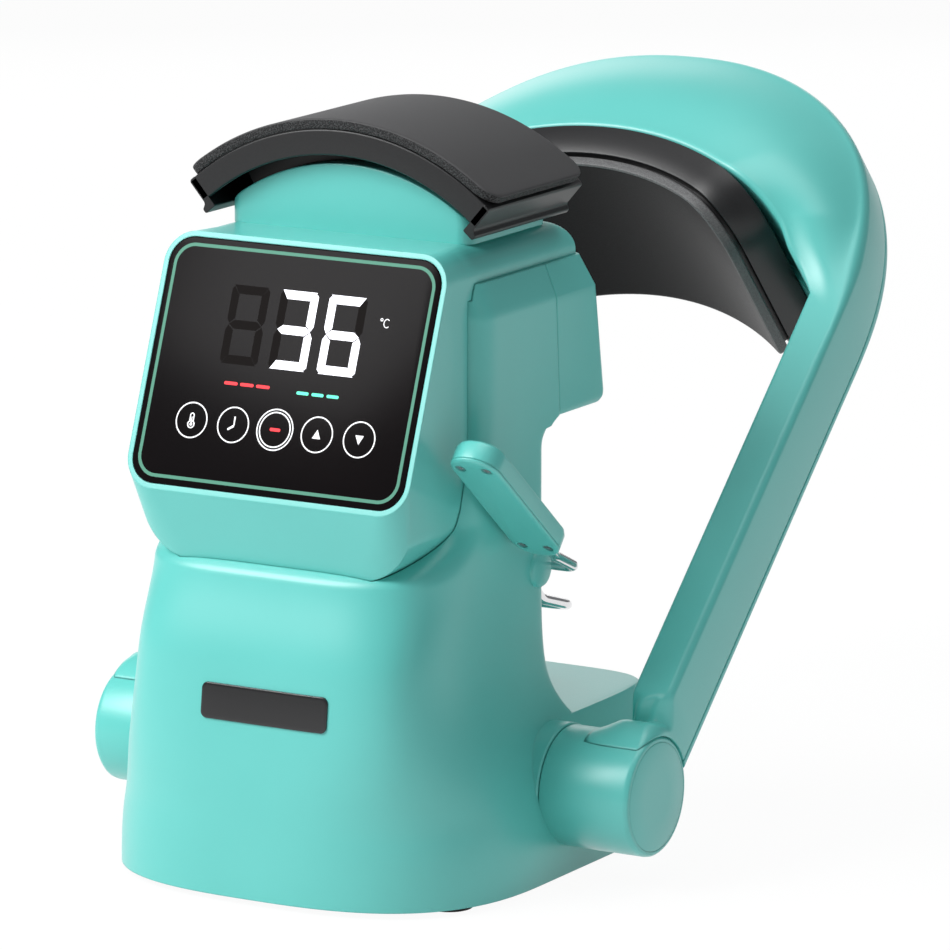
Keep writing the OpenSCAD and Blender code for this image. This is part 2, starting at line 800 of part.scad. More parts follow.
module heater_clamp() {
  color(steel)
  platen_frame() arc_band(plate_r + platen_t + 0.8, plate_r + platen_t + groove + 1, platen_angle - 1.5,
    -platen_front + 4, platen_back - 4);
}

module platen_insulation() {
  color("#D9D4C5")
  platen_frame() difference() {
    arc_band(plate_r + platen_t + groove + 1, housing_r - 4, platen_angle - 1.5,
      -platen_front + 4, platen_back - 4);
    cylinder(h = 400, r = 9);
  }
}

module thermal_cutoff() {
  color(steel)
  platen_frame() translate([0, 0, plate_r + platen_t + groove + 1]) cylinder(h = 9, r = 8);
}

module platen_screws() {
  color(steel)
  platen_frame() {
    platen_rods(2, housing_r - housing_wall - 0.5, arch_r - 0.3);
    platen_rods(3.6, housing_r - housing_wall - 1.4, housing_r - housing_wall - 0.4);
  }
}

// ---------- lever and bail ----------

bail_y = column_back + bail_off + wire_d / 2;
module bail_frame() { translate([0, bail_y, bail_z]) children(); }
paddle_low = [-28.5, 16];
module paddle_frame() {
  bail_frame() translate([paddle_x, paddle_low[0], paddle_low[1]]) rotate([-90 + 180 - paddle_rise, 0, 0])
    children();
}

// Outline of the paddle, along its own Z, from t1 to t2 of its thickness
module paddle_slab(t1, t2) {
  translate([0, t1, 0]) rotate([-90, 0, 0]) translate([0, -paddle_l / 2, 0])
    round_plate(paddle_w, paddle_l, t2 - t1, paddle_w / 2 - 1);
}

module lever_upper_half() {
  color(teal)
  paddle_frame() difference() {
    paddle_slab(-paddle_t / 2 + 1.6, paddle_t / 2);
    translate([0, 0, -1]) cylinder(h = 24, r = wire_d / 2 + touch);
  }
}

module lever_lower_half() {
  color(teal)
  paddle_frame() difference() {
    paddle_slab(-paddle_t / 2, -paddle_t / 2 + 1.5);
    for (x = [-6.8, 6.8], l = [9, paddle_l - 9]) translate([x, 0, l]) rotate([90, 0, 0])
      cylinder(h = 20, r = 2.2);
  }
}

module lever_screws() {
  color(steel)
  paddle_frame() for (x = [-6.8, 6.8], l = [9, paddle_l - 9])
    translate([x, -paddle_t / 2 + 1.6, l]) rotate([90, 0, 0]) cylinder(h = 1.4, r = 2.1);
}

slope_1 = 45;           // fall of the bail's legs next to the axis
slope_2 = 17;           // fall of the bail's legs further back
knee = 23;              // distance of the knee in the legs behind the axis
wire_bend = 6;          // tight bends of the wire
bail_corner = 20;       // corners of the bail's loop
drop_2 = -knee * tan(slope_1) - (bail_reach - knee) * tan(slope_2);
journal = bail_half + wire_bend;
paddle_path = [
  [paddle_x, paddle_low[0] - 14, paddle_low[1] + 14 * tan(paddle_rise)],
  [paddle_x, paddle_low[0] + 8, paddle_low[1] - 8 * tan(paddle_rise)],
  [paddle_x, 0, 0],
  [paddle_x - wire_bend - 3, 0, 0]];
bail_path = [
  [journal + 1, 0, 0],
  [bail_half, 0, 0],
  [bail_half, knee, -knee * tan(slope_1)],
  [bail_half, bail_reach, drop_2],
  [-bail_half, bail_reach, drop_2],
  [-bail_half, knee, -knee * tan(slope_1)],
  [-bail_half, 0, 0],
  [-journal - 1, 0, 0]];

module bail_wire() {
  color("#D8DADC")
  bail_frame() {
    tube(bent_path(paddle_path, [wire_bend, wire_bend], 4), wire_d / 2 - touch, 12, [1, 0, 0]);
    tube(bent_path(bail_path, [wire_bend, 14, bail_corner, bail_corner, 14, wire_bend], 6),
      wire_d / 2 - touch, 12, [0, 0, 1]);
    translate([(paddle_x - wire_bend + journal) / 2, 0, 0])
      x_rod(wire_d / 2, paddle_x - wire_bend - journal);
    translate([-journal - 5, 0, 0]) x_rod(wire_d / 2, 10);
  }
}

bracket_w = 7;
bracket_r = wire_d / 2 + 3;
bracket_seat = wire_d / 2 + 1.6;

// Places both brackets' middles on the bail's axis
module bracket_frame() {
  bail_frame() for (s = [-1, 1]) translate([s * (journal + 1 + bracket_w / 2), 0, 0]) children();
}

module bail_brackets() {
  color(teal)
  bracket_frame() difference() {
    union() {
      x_rod(bracket_r, bracket_w);
      translate([-bracket_w / 2, -bail_off - wire_d / 2 + 0.05, -bracket_r])
        cube([bracket_w, bail_off + wire_d / 2, 2 * bracket_r]);
    }
    x_rod(wire_d / 2 + 0.06, 30);
    translate([0, bracket_seat, 0]) rotate([-90, 0, 0]) cylinder(h = 4, r = 2.2 + touch);
  }
}

module bracket_screws() {
  color(steel)
  bracket_frame() translate([0, bracket_seat, 0]) rotate([-90, 0, 0]) cylinder(h = 1.6, r = 2.2);
}

main_shell();
rear_housing();
bottom_plate();
rubber_feet();
base_screws();
base_frame();
pivot_bushes();
power_board();
transformer();
power_inlet();
rocker_switch();
power_rocker();
badge_plate();
control_head();
display_panel();
display_module();
touch_springs();
control_board();
buzzer();
pad_pedestal();
pad_tray();
foam_pad();
tray_screws();
arm_front_shell();
arm_hubs();
arm_back_cover();
arm_cover_screws();
hub_covers();
pivot_axles();
friction_washers();
pivot_nuts();
platen_housing();
heating_plate();
heater_film();
heater_clamp();
platen_insulation();
thermal_cutoff();
platen_screws();
lever_upper_half();
lever_lower_half();
lever_screws();
bail_wire();
bail_brackets();
bracket_screws();
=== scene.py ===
import json
import math

import bmesh
import bpy
import numpy as np
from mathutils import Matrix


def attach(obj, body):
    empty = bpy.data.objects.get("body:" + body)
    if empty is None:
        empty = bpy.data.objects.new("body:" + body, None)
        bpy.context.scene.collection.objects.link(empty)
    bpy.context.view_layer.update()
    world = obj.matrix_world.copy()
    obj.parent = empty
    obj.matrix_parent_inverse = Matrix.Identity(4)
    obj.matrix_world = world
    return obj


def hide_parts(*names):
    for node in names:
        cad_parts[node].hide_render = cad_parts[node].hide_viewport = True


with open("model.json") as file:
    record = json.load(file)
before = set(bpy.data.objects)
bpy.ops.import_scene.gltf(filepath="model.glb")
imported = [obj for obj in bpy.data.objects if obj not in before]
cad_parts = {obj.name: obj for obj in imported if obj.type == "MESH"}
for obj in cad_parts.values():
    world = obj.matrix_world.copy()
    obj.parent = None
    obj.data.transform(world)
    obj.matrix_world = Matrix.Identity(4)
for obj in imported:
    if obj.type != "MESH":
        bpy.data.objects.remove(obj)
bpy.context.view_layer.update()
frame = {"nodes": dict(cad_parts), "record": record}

# Cap heat press: every shape is worked out in millimetres and put into its mesh in metres.
mm = 0.001
nodes = frame["nodes"]


# ---------- small tools ----------

def ease(t):
    # smooth step from 0 to 1: 3t^2 - 2t^3
    t = np.clip(t, 0, 1)
    return t * t * (3 - 2 * t)


def mix(a, b, t):
    # straight line from a to b
    return a + (b - a) * t


def bump(v, p):
    # signed power: the sign of v times |v| to the power p
    return np.sign(v) * np.abs(v) ** p


def turnX(points, degrees):
    # turns an array of points about the X axis by the right-hand rule
    c, s = math.cos(math.radians(degrees)), math.sin(math.radians(degrees))
    return points @ np.array([[1, 0, 0], [0, c, -s], [0, s, c]]).T


def addMesh(name, points, faces, body, material, replaced=(), smoothAngle=32):
    # a mesh from an array of points in mm and a list or array of faces, riding on its body
    mesh = bpy.data.meshes.new(name)
    mesh.from_pydata((np.asarray(points, float).reshape(-1, 3) * mm).tolist(), [],
                     [tuple(int(i) for i in f) for f in faces])
    mesh.validate()
    piece = bpy.data.objects.new(name, mesh)
    bpy.context.scene.collection.objects.link(piece)
    finishPiece(piece, body, material, replaced, smoothAngle)
    return piece


def finishPiece(piece, body, material, replaced=(), smoothAngle=32):
    # smooth shading with edges sharper than smoothAngle kept, then material and body
    mesh = piece.data
    mesh.shade_smooth()
    mesh.set_sharp_from_angle(angle=math.radians(smoothAngle))
    if material is not None:
        mesh.materials.clear()
        mesh.materials.append(material)
    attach(piece, body)
    if replaced:
        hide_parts(*replaced)
    return piece


def gridFaces(rows, cols, closed):
    # quads between the rows of a grid; closed joins the last column to the first
    across = cols if closed else cols - 1
    i, j = np.meshgrid(np.arange(rows - 1), np.arange(across), indexing="ij")
    k = (j + 1) % cols
    quads = np.stack([i * cols + j, i * cols + k, (i + 1) * cols + k, (i + 1) * cols + j], -1)
    return quads.reshape(-1, 4)


def ringSurface(rings, caps=True):
    # faces of a stack of closed rings, with both ends closed by one face each
    rows, cols = rings.shape[:2]
    faces = gridFaces(rows, cols, True).tolist()
    if caps:
        faces.append(list(range(cols))[::-1])
        faces.append([(rows - 1) * cols + i for i in range(cols)])
    return faces


def outward(piece):
    # merges doubles and turns every face outwards
    work = bmesh.new()
    work.from_mesh(piece.data)
    bmesh.ops.remove_doubles(work, verts=work.verts, dist=1e-6)
    bmesh.ops.recalc_face_normals(work, faces=work.faces)
    work.to_mesh(piece.data)
    work.free()
    return piece


def applyAll(piece):
    # puts the result of a piece's modifiers into its own mesh
    shaped = bpy.data.meshes.new_from_object(piece.evaluated_get(bpy.context.evaluated_depsgraph_get()))
    piece.modifiers.clear()
    piece.data = shaped
    return piece


def combine(piece, other, how):
    # adds the other solid to the piece or takes it away, and removes the other
    boolean = piece.modifiers.new("combine", "BOOLEAN")
    boolean.operation = how
    boolean.solver = "EXACT"
    boolean.object = other
    bpy.context.view_layer.update()
    applyAll(piece)
    bpy.data.objects.remove(other)
    return piece


def cut(piece, cutter):
    # takes the cutter away from the piece
    return combine(piece, cutter, "DIFFERENCE")


def looseMesh(name, points, faces):
    # a mesh object that only serves to cut or to be joined
    mesh = bpy.data.meshes.new(name)
    mesh.from_pydata((np.asarray(points, float).reshape(-1, 3) * mm).tolist(), [],
                     [tuple(int(i) for i in f) for f in faces])
    piece = bpy.data.objects.new(name, mesh)
    bpy.context.scene.collection.objects.link(piece)
    return outward(piece)


def ringPiece(name, rings, body, material, replaced=(), smoothAngle=32):
    # a finished piece from a stack of closed rings
    return outward(addMesh(name, rings, ringSurface(rings), body, material, replaced, smoothAngle))


def ringSolid(name, rings):
    # a loose solid from a stack of closed rings
    return looseMesh(name, rings, ringSurface(rings))


def hullMesh(name, points):
    # the convex hull of an array of points in mm
    work = bmesh.new()
    for p in np.asarray(points, float) * mm:
        work.verts.new(p)
    made = bmesh.ops.convex_hull(work, input=work.verts, use_existing_faces=False)
    spare = [g for g in made["geom_interior"] if isinstance(g, bmesh.types.BMVert)]
    bmesh.ops.delete(work, geom=spare, context="VERTS")
    bmesh.ops.recalc_face_normals(work, faces=work.faces)
    mesh = bpy.data.meshes.new(name)
    work.to_mesh(mesh)
    work.free()
    piece = bpy.data.objects.new(name, mesh)
    bpy.context.scene.collection.objects.link(piece)
    return piece


def roundedOutline(corners, radii, steps=8):
    # closed outline through corners with arcs: each corner gives way to an arc that touches both sides
    corners = np.asarray(corners, float)
    n = len(corners)
    out = []
    for i in range(n):
        before, here, after = corners[i - 1], corners[i], corners[(i + 1) % n]
        u = (before - here) / np.linalg.norm(before - here)
        v = (after - here) / np.linalg.norm(after - here)
        half = math.acos(np.clip(np.dot(u, v), -1, 1)) / 2
        r = radii[i]
        if r <= 0:
            out.append(here[None])
            continue
        mid = (u + v) / np.linalg.norm(u + v)
        centre = here + mid * r / math.sin(half)
        a = here + u * r / math.tan(half) - centre
        b = here + v * r / math.tan(half) - centre
        t = np.linspace(0, 1, steps + 1)[:, None]
        turn = math.acos(np.clip(np.dot(a, b) / r ** 2, -1, 1))
        out.append(centre + (np.sin((1 - t) * turn) * a + np.sin(t * turn) * b) / math.sin(turn))
    return np.concatenate(out)


def refine(outline, step, like=None):
    # puts points into the long sides of an outline, as many as the outline "like" needs
    like = outline if like is None else like
    out = []
    for p, q, a, b in zip(outline, np.roll(outline, -1, 0), like, np.roll(like, -1, 0)):
        n = max(1, int(np.linalg.norm(b - a) / step))
        out.append(p + (q - p) * (np.arange(n) / n)[:, None])
    return np.concatenate(out)


# ---------- materials ----------

def newMaterial(name):
    material = bpy.data.materials.new(name)
    material.use_nodes = True
    tree = material.node_tree
    return material, tree, tree.nodes["Principled BSDF"]


def noiseNode(tree, scale, detail, rough=0.5):
    # noise on object coordinates, in waves per metre
    place = tree.nodes.new("ShaderNodeTexCoord")
    noise = tree.nodes.new("ShaderNodeTexNoise")
    noise.inputs["Scale"].default_value = scale
    noise.inputs["Detail"].default_value = detail
    noise.inputs["Roughness"].default_value = rough
    tree.links.new(place.outputs["Object"], noise.inputs["Vector"])
    return noise


def rampNode(tree, source, stops):
    # colour ramp with stops of (place, colour)
    ramp = tree.nodes.new("ShaderNodeValToRGB")
    ramp.color_ramp.elements[0].position = stops[0][0]
    ramp.color_ramp.elements[0].color = (*stops[0][1], 1)
    ramp.color_ramp.elements[1].position = stops[-1][0]
    ramp.color_ramp.elements[1].color = (*stops[-1][1], 1)
    for place, colour in stops[1:-1]:
        ramp.color_ramp.elements.new(place).color = (*colour, 1)
    tree.links.new(source, ramp.inputs["Fac"])
    return ramp


def rangeNode(tree, source, low, high):
    # maps 0..1 to low..high
    spread = tree.nodes.new("ShaderNodeMapRange")
    spread.inputs["To Min"].default_value = low
    spread.inputs["To Max"].default_value = high
    tree.links.new(source, spread.inputs["Value"])
    return spread


def surfaceNormal(tree, shader, height, strength, distance, edge):
    # bump from a height, over normals that are rounded at the edges by the radius edge
    rounded = tree.nodes.new("ShaderNodeBevel")
    rounded.samples = 6
    rounded.inputs["Radius"].default_value = edge
    bumpNode = tree.nodes.new("ShaderNodeBump")
    bumpNode.inputs["Strength"].default_value = strength
    bumpNode.inputs["Distance"].default_value = distance
    tree.links.new(height, bumpNode.inputs["Height"])
    tree.links.new(rounded.outputs["Normal"], bumpNode.inputs["Normal"])
    tree.links.new(bumpNode.outputs["Normal"], shader.inputs["Normal"])


def mottle(tree, shader, tones, toneNoise, gloss, glossNoise):
    # base colour from one noise between two (place, colour) stops, and roughness from another
    tone = rampNode(tree, toneNoise.outputs["Fac"], tones)
    tree.links.new(tone.outputs["Color"], shader.inputs["Base Color"])
    spread = rangeNode(tree, glossNoise.outputs["Fac"], *gloss)
    tree.links.new(spread.outputs["Result"], shader.inputs["Roughness"])


def glossPlastic(name, light, dark, rough, edge, coat):
    # moulded glossy plastic: faint mottling of colour, uneven gloss and a trace of sink in the surface
    material, tree, shader = newMaterial(name)
    broad = noiseNode(tree, 14, 2)
    fine = noiseNode(tree, 900, 3)
    mottle(tree, shader, [(0.3, dark), (0.7, light)], broad, (rough * 0.85, rough * 1.2), fine)
    shader.inputs["IOR"].default_value = 1.5
    shader.inputs["Coat Weight"].default_value = coat
    shader.inputs["Coat Roughness"].default_value = 0.36
    surfaceNormal(tree, shader, broad.outputs["Fac"], 0.05, 0.0006, edge)
    return material


def satinPlastic(name, light, dark, rough, grain, strength, edge=0.0006):
    # moulded satin plastic with a fine spark-eroded grain
    material, tree, shader = newMaterial(name)
    fine = noiseNode(tree, grain, 4, 0.6)
    mottle(tree, shader, [(0.35, dark), (0.65, light)], fine, (rough * 0.9, rough * 1.12), fine)
    surfaceNormal(tree, shader, fine.outputs["Fac"], strength, 0.0002, edge)
    return material


def brushedMetal(name, light, dark, rough, scale=300):
    # metal with short directional scratches
    material, tree, shader = newMaterial(name)
    shader.inputs["Metallic"].default_value = 1.0
    place = tree.nodes.new("ShaderNodeTexCoord")
    stretch = tree.nodes.new("ShaderNodeMapping")
    stretch.inputs["Scale"].default_value = (1, 12, 12)
    noise = tree.nodes.new("ShaderNodeTexNoise")
    noise.inputs["Scale"].default_value = scale
    noise.inputs["Detail"].default_value = 3
    tree.links.new(place.outputs["Object"], stretch.inputs["Vector"])
    tree.links.new(stretch.outputs["Vector"], noise.inputs["Vector"])
    mottle(tree, shader, [(0.3, dark), (0.7, light)], noise, (rough * 0.8, rough * 1.25), noise)
    surfaceNormal(tree, shader, noise.outputs["Fac"], 0.06, 0.0002, 0.0003)
    return material


def glowing(name, colour, strength):
    # emission with its tone varied a little by noise: the real light of lit bars and lamps, and a painted
    # glow where it is given to print and to unlit bars
    material, tree, shader = newMaterial(name)
    noise = noiseNode(tree, 220, 1)
    tone = rampNode(tree, noise.outputs["Fac"], [(0.2, tuple(c * 0.93 for c in colour)), (0.8, colour)])
    tree.links.new(tone.outputs["Color"], shader.inputs["Emission Color"])
    shader.inputs["Base Color"].default_value = (*colour, 1)
    shader.inputs["Emission Strength"].default_value = strength
    shader.inputs["Roughness"].default_value = 0.5
    return material


def foamEdge(name):
    # cut open-cell foam: paler walls in the foam's own dark grey, with the pores between them painted darker
    # as painted shade in the hollows
    material, tree, shader = newMaterial(name)
    place = tree.nodes.new("ShaderNodeTexCoord")
    cells = tree.nodes.new("ShaderNodeTexVoronoi")
    cells.inputs["Scale"].default_value = 1500
    cells.inputs["Randomness"].default_value = 1.0
    tree.links.new(place.outputs["Object"], cells.inputs["Vector"])
    # ramp from cell middle to wall: the near-black middles are painted shade in the pores
    tone = rampNode(tree, cells.outputs["Distance"],
                    [(0.12, (0.002, 0.002, 0.002)), (0.42, (0.016, 0.016, 0.017)),
                     (0.7, (0.06, 0.06, 0.062))])
    tree.links.new(tone.outputs["Color"], shader.inputs["Base Color"])
    shader.inputs["Roughness"].default_value = 0.85
    bumpNode = tree.nodes.new("ShaderNodeBump")
    bumpNode.inputs["Strength"].default_value = 0.9
    bumpNode.inputs["Distance"].default_value = 0.0006
    tree.links.new(cells.outputs["Distance"], bumpNode.inputs["Height"])
    tree.links.new(bumpNode.outputs["Normal"], shader.inputs["Normal"])
    return material


print("materials")
tealPlastic = glossPlastic("tealPlastic", (0.135, 0.620, 0.570), (0.125, 0.597, 0.547), 0.34, 0.0009, 0.45)
blackSatin = satinPlastic("blackSatin", (0.012, 0.012, 0.013), (0.008, 0.008, 0.009), 0.40, 1800, 0.12)
blackGloss = glossPlastic("blackGloss", (0.010, 0.010, 0.011), (0.008, 0.008, 0.009), 0.16, 0.0006, 0.4)
glassBlack = glossPlastic("glassBlack", (0.0075, 0.006, 0.0065), (0.006, 0.005, 0.0055), 0.22, 0.0005, 0.0)
foamSkin = satinPlastic("foamSkin", (0.058, 0.058, 0.060), (0.044, 0.044, 0.046), 0.62, 2600, 0.35, 0.0004)
foamCut = foamEdge("foamCut")
footRubber = satinPlastic("footRubber", (0.020, 0.020, 0.020), (0.012, 0.012, 0.012), 0.75, 1400, 0.3)
plateCoat = satinPlastic("plateCoat", (0.010, 0.010, 0.011), (0.005, 0.005, 0.0055), 0.34, 1500, 0.25)
plateRim = satinPlastic("plateRim", (0.150, 0.150, 0.152), (0.055, 0.055, 0.057), 0.45, 1900, 0.5)
steelPlain = brushedMetal("steelPlain", (0.62, 0.63, 0.65), (0.50, 0.51, 0.53), 0.32)
chromeWire = brushedMetal("chromeWire", (0.80, 0.80, 0.81), (0.72, 0.72, 0.73), 0.09, 120)
brassPlain = brushedMetal("brassPlain", (0.78, 0.60, 0.28), (0.68, 0.50, 0.22), 0.35)
boardGreen = satinPlastic("boardGreen", (0.020, 0.120, 0.060), (0.015, 0.090, 0.045), 0.4, 900, 0.1)
coilYellow = satinPlastic("coilYellow", (0.600, 0.450, 0.090), (0.480, 0.340, 0.060), 0.5, 700, 0.2)
filmAmber = satinPlastic("filmAmber", (0.450, 0.160, 0.030), (0.360, 0.120, 0.020), 0.3, 500, 0.1)
feltPale = satinPlastic("feltPale", (0.620, 0.580, 0.480), (0.480, 0.440, 0.360), 0.9, 1200, 0.6)
litWhite = glowing("litWhite", (0.93, 0.93, 1.0), 1.0)
# unlit bars: their dark colour is also given as emission, a faint painted glow
ghostPaintedGlow = glowing("ghostPaintedGlow", (0.0042, 0.0032, 0.0030), 1.0)
# printed marks: their white and green print colour is also given as emission, a painted glow
printWhitePaintedGlow = glowing("printWhitePaintedGlow", (0.80, 0.80, 0.82), 0.6)
printGreenPaintedGlow = glowing("printGreenPaintedGlow", (0.040, 0.215, 0.140), 0.35)
litRed = glowing("litRed", (0.80, 0.010, 0.020), 1.0)
litGreen = glowing("litGreen", (0.080, 0.720, 0.450), 0.8)

finishes = {
    "teal_plastic": tealPlastic, "black_plastic": blackSatin, "rocker_plastic": blackGloss,
    "badge": blackGloss, "display_glass": glassBlack, "foam": foamSkin, "foot_rubber": footRubber,
    "steel": steelPlain, "chrome_wire": chromeWire, "bush_brass": brassPlain, "board": boardGreen,
    "winding": coilYellow, "display_white": feltPale, "coated_plate": plateCoat,
    "clamp_plate": steelPlain, "film": filmAmber, "felt": feltPale}
slotOf = {s["node"]: s["material_slot"] for s in frame["record"]["subparts"]}
for material, gloss in ((glassBlack, 0.04), (ghostPaintedGlow, 0.04), (plateCoat, 0.07)):
    material.node_tree.nodes["Principled BSDF"].inputs["Specular IOR Level"].default_value = gloss
for nodeName, nodeObject in nodes.items():
    nodeObject.data.materials.clear()
    nodeObject.data.materials.append(finishes[slotOf[nodeName]])


# ---------- camera, stage and lights ----------

view = {"place": (1.6911, -2.7894, 0.8629), "lean": 78.1816, "turn": 30.4455, "lens": 270.98}


def addCamera():
    # the photograph's camera, level and without shift
    camera = bpy.data.cameras.new("camera")
    camera.lens = view["lens"]
    camera.sensor_width = 36
    camera.clip_end = 20
    eye = bpy.data.objects.new("camera", camera)
    eye.location = view["place"]
    eye.rotation_euler = (math.radians(view["lean"]), 0, math.radians(view["turn"]))
    bpy.context.scene.collection.objects.link(eye)
    bpy.context.scene.camera = eye


stageSizes = {"half": 6.0}


def addStage():
    # a pale floor that a camera sees as white except for the object's shadow
    half = stageSizes["half"]
    mesh = bpy.data.meshes.new("floor")
    corners = [(-half, -half, 0), (half, -half, 0), (half, half, 0), (-half, half, 0)]
    mesh.from_pydata(corners, [], [(0, 1, 2, 3)])
    floor = bpy.data.objects.new("floor", mesh)
    bpy.context.scene.collection.objects.link(floor)
    material, tree, shader = newMaterial("floorPaper")
    shader.inputs["Base Color"].default_value = (0.86, 0.86, 0.86, 1)
    shader.inputs["Roughness"].default_value = 0.9
    paths = tree.nodes.new("ShaderNodeLightPath")
    seen = tree.nodes.new("ShaderNodeMath")
    seen.operation = "MAXIMUM"
    tree.links.new(paths.outputs["Is Camera Ray"], seen.inputs[0])
    tree.links.new(paths.outputs["Is Glossy Ray"], seen.inputs[1])
    part = tree.nodes.new("ShaderNodeMath")
    part.operation = "MULTIPLY"
    part.inputs[1].default_value = 0.93
    tree.links.new(seen.outputs[0], part.inputs[0])
    white = tree.nodes.new("ShaderNodeEmission")
    white.inputs["Color"].default_value = (1, 1, 1, 1)
    white.inputs["Strength"].default_value = 1.02
    blend = tree.nodes.new("ShaderNodeMixShader")
    tree.links.new(part.outputs[0], blend.inputs["Fac"])
    tree.links.new(shader.outputs["BSDF"], blend.inputs[1])
    tree.links.new(white.outputs["Emission"], blend.inputs[2])
    tree.links.new(blend.outputs["Shader"], tree.nodes["Material Output"].inputs["Surface"])
    mesh.materials.append(material)
    world = bpy.data.worlds.new("studio")
    bpy.context.scene.world = world
    world.use_nodes = True
    sky = world.node_tree
    back = sky.nodes["Background"]
    back.inputs["Color"].default_value = (0.95, 0.97, 1.0, 1)
    back.inputs["Strength"].default_value = 0.20
    seenSky = sky.nodes.new("ShaderNodeBackground")
    seenSky.inputs["Color"].default_value = (1, 1, 1, 1)
    seenSky.inputs["Strength"].default_value = 1.0
    skyPaths = sky.nodes.new("ShaderNodeLightPath")
    skyBlend = sky.nodes.new("ShaderNodeMixShader")
    sky.links.new(skyPaths.outputs["Is Camera Ray"], skyBlend.inputs["Fac"])
    sky.links.new(back.outputs["Background"], skyBlend.inputs[1])
    sky.links.new(seenSky.outputs["Background"], skyBlend.inputs[2])
    sky.links.new(skyBlend.outputs["Shader"], sky.nodes["World Output"].inputs["Surface"])


lamps = {
    "key": {"place": (-1.3, -1.6, 1.9), "aim": (0, 0, 0.2), "size": (1.3, 1.6), "power": 74},
    "side": {"place": (1.9, -0.6, 1.0), "aim": (0, 0, 0.2), "size": (0.5, 1.6), "power": 1},
    "top": {"place": (0.1, 0.3, 2.3), "aim": (0, 0.1, 0.2), "size": (1.6, 1.6), "power": 16},
    "rim": {"place": (-1.3, 2.1, 0.8), "aim": (0, 0.1, 0.1), "size": (2.4, 1.2), "power": 10}}


def addLamps():
    # large soft boxes, each aimed at the object
    for name, lamp in lamps.items():
        light = bpy.data.lights.new(name, "AREA")
        light.shape = "RECTANGLE"
        light.size, light.size_y = lamp["size"]
        light.energy = lamp["power"]
        box = bpy.data.objects.new(name, light)
        place, aim = np.array(lamp["place"]), np.array(lamp["aim"])
        away = place - aim
        box.location = place
        flat = math.hypot(away[0], away[1])
        box.rotation_euler = (math.atan2(flat, away[2]), 0, math.atan2(away[0], -away[1]))
        bpy.context.scene.collection.objects.link(box)


print("camera and lights")
addCamera()
addStage()
addLamps()
bpy.context.scene.view_settings.view_transform = "Standard"


# ---------- body ----------

body = {
    "baseHalf": 103.0, "columnHalf": 80.0, "rimHalf": 74.5, "flare": 74.0, "front": 117.0, "lean": 15.0,
    "back": 116.5, "platform": 72.0, "edge": 7.0, "columnBack": 16.0, "overhang": 212.0,
    "shoulder": 268.0, "rim": 283.0, "foot": 3.0, "middle": -22.0, "topFront": 46.0, "seam": 0.35,
    "neck": 150.0, "neckBack": 60.0, "neckDraw": 4.0,
    "coveTop": 105.0, "cove": 14.0, "headCove": 13.5, "headBack": 9.0}
pivot = {"y": 4.6, "z": 43.6, "radius": 28.2}


def bodyHalf(z):
    # half width at height z: the column's, plus a flare that dies away with the cube of the height
    flare = body["columnHalf"] + (body["baseHalf"] - body["columnHalf"]) * np.exp(-(z / body["flare"]) ** 3)
    top = mix(body["columnHalf"], body["rimHalf"], (z - body["shoulder"]) / (body["rim"] - body["shoulder"]))
    return np.where(z > body["shoulder"], top, flare)


def bodyFront(z):
    # front at height z: a slow parabola that steps back round the head's chin and then leans on to the top
    lean = -body["front"] + body["lean"] * (z / body["neck"]) ** 2
    drawn = lean + body["neckDraw"] * ease((z - body["neck"] + 40) / 42)
    behind = mix(-body["neckBack"], -body["topFront"], ease((z - body["neck"] - 20) / 50))
    return mix(drawn, behind, ease((z - body["neck"]) / 24))


def bodyBack(z):
    # back at height z: base with a rounded edge, fillet into the column, fillet out to the overhang
    p, e, o = body["platform"], body["edge"], body["overhang"]
    edge = body["back"] - e + np.sqrt(np.maximum(0, e ** 2 - (z - p + e) ** 2))
    column, coveTop, cove, headCove = (body[k] for k in ("columnBack", "coveTop", "cove", "headCove"))
    fillet = column + cove * np.clip(1 - (z - p) / (coveTop - p), 0, 1) ** 2.5
    under = column + headCove * np.clip((z - o + cove) / cove, 0, 1) ** 2.6
    top = mix(column + headCove, column + body["headBack"], (z - o) / (body["rim"] - o))
    return np.select([z <= p - e, z <= p, z <= coveTop, z <= o - cove, z <= o],
                     [body["back"] + 0 * z, edge, fillet, column + 0 * z, under], top)


def frontPower(z):
    # roundness of the front's corners: full at the foot, squarer at the waist, a little rounder at the neck
    return mix(2.8, 5.0, ease((z - 35) / 75)) - 0.8 * ease((z - 112) / 40)


def bodyRings(z, count, inset=0.0):
    # superelliptic rings: x = w |cos|^(2/p), y = middle + b |sin|^(2/p), with its own p front and back
    a = 2 * np.pi * (np.arange(count) + 0.5) / count
    w = bodyHalf(z) - inset
    f, b = body["middle"] - bodyFront(z) - inset, bodyBack(z) - body["middle"] - inset
    powerBack = np.where(z > body["overhang"] - 4, 200, np.where(z > body["platform"], 24, 8))
    front = np.sin(a)[None, :] < 0
    p = np.where(front, frontPower(z)[:, None], powerBack[:, None])
    x = w[:, None] * bump(np.cos(a)[None, :], 2 / p)
    y = body["middle"] + np.where(front, f[:, None], b[:, None]) * bump(np.sin(a)[None, :], 2 / p)
    return np.stack([x, y, np.broadcast_to(z[:, None], x.shape)], -1)


def bodyFrontAt(x, z):
    # y of the body's front surface at x and z, from the ring's own formula
    w, f = bodyHalf(z), body["middle"] - bodyFront(z)
    p = frontPower(z)
    return body["middle"] - f * (1 - np.abs(x / w) ** p) ** (1 / p)


def lathe(profile, count=96):
    # rings (radius, distance along X) about the X axis
    a = 2 * np.pi * np.arange(count) / count
    profile = np.asarray(profile, float)
    r, h = profile[:, 0, None], profile[:, 1, None]
    return np.stack([np.broadcast_to(h, (len(profile), count)), r * np.cos(a), r * np.sin(a)], -1)


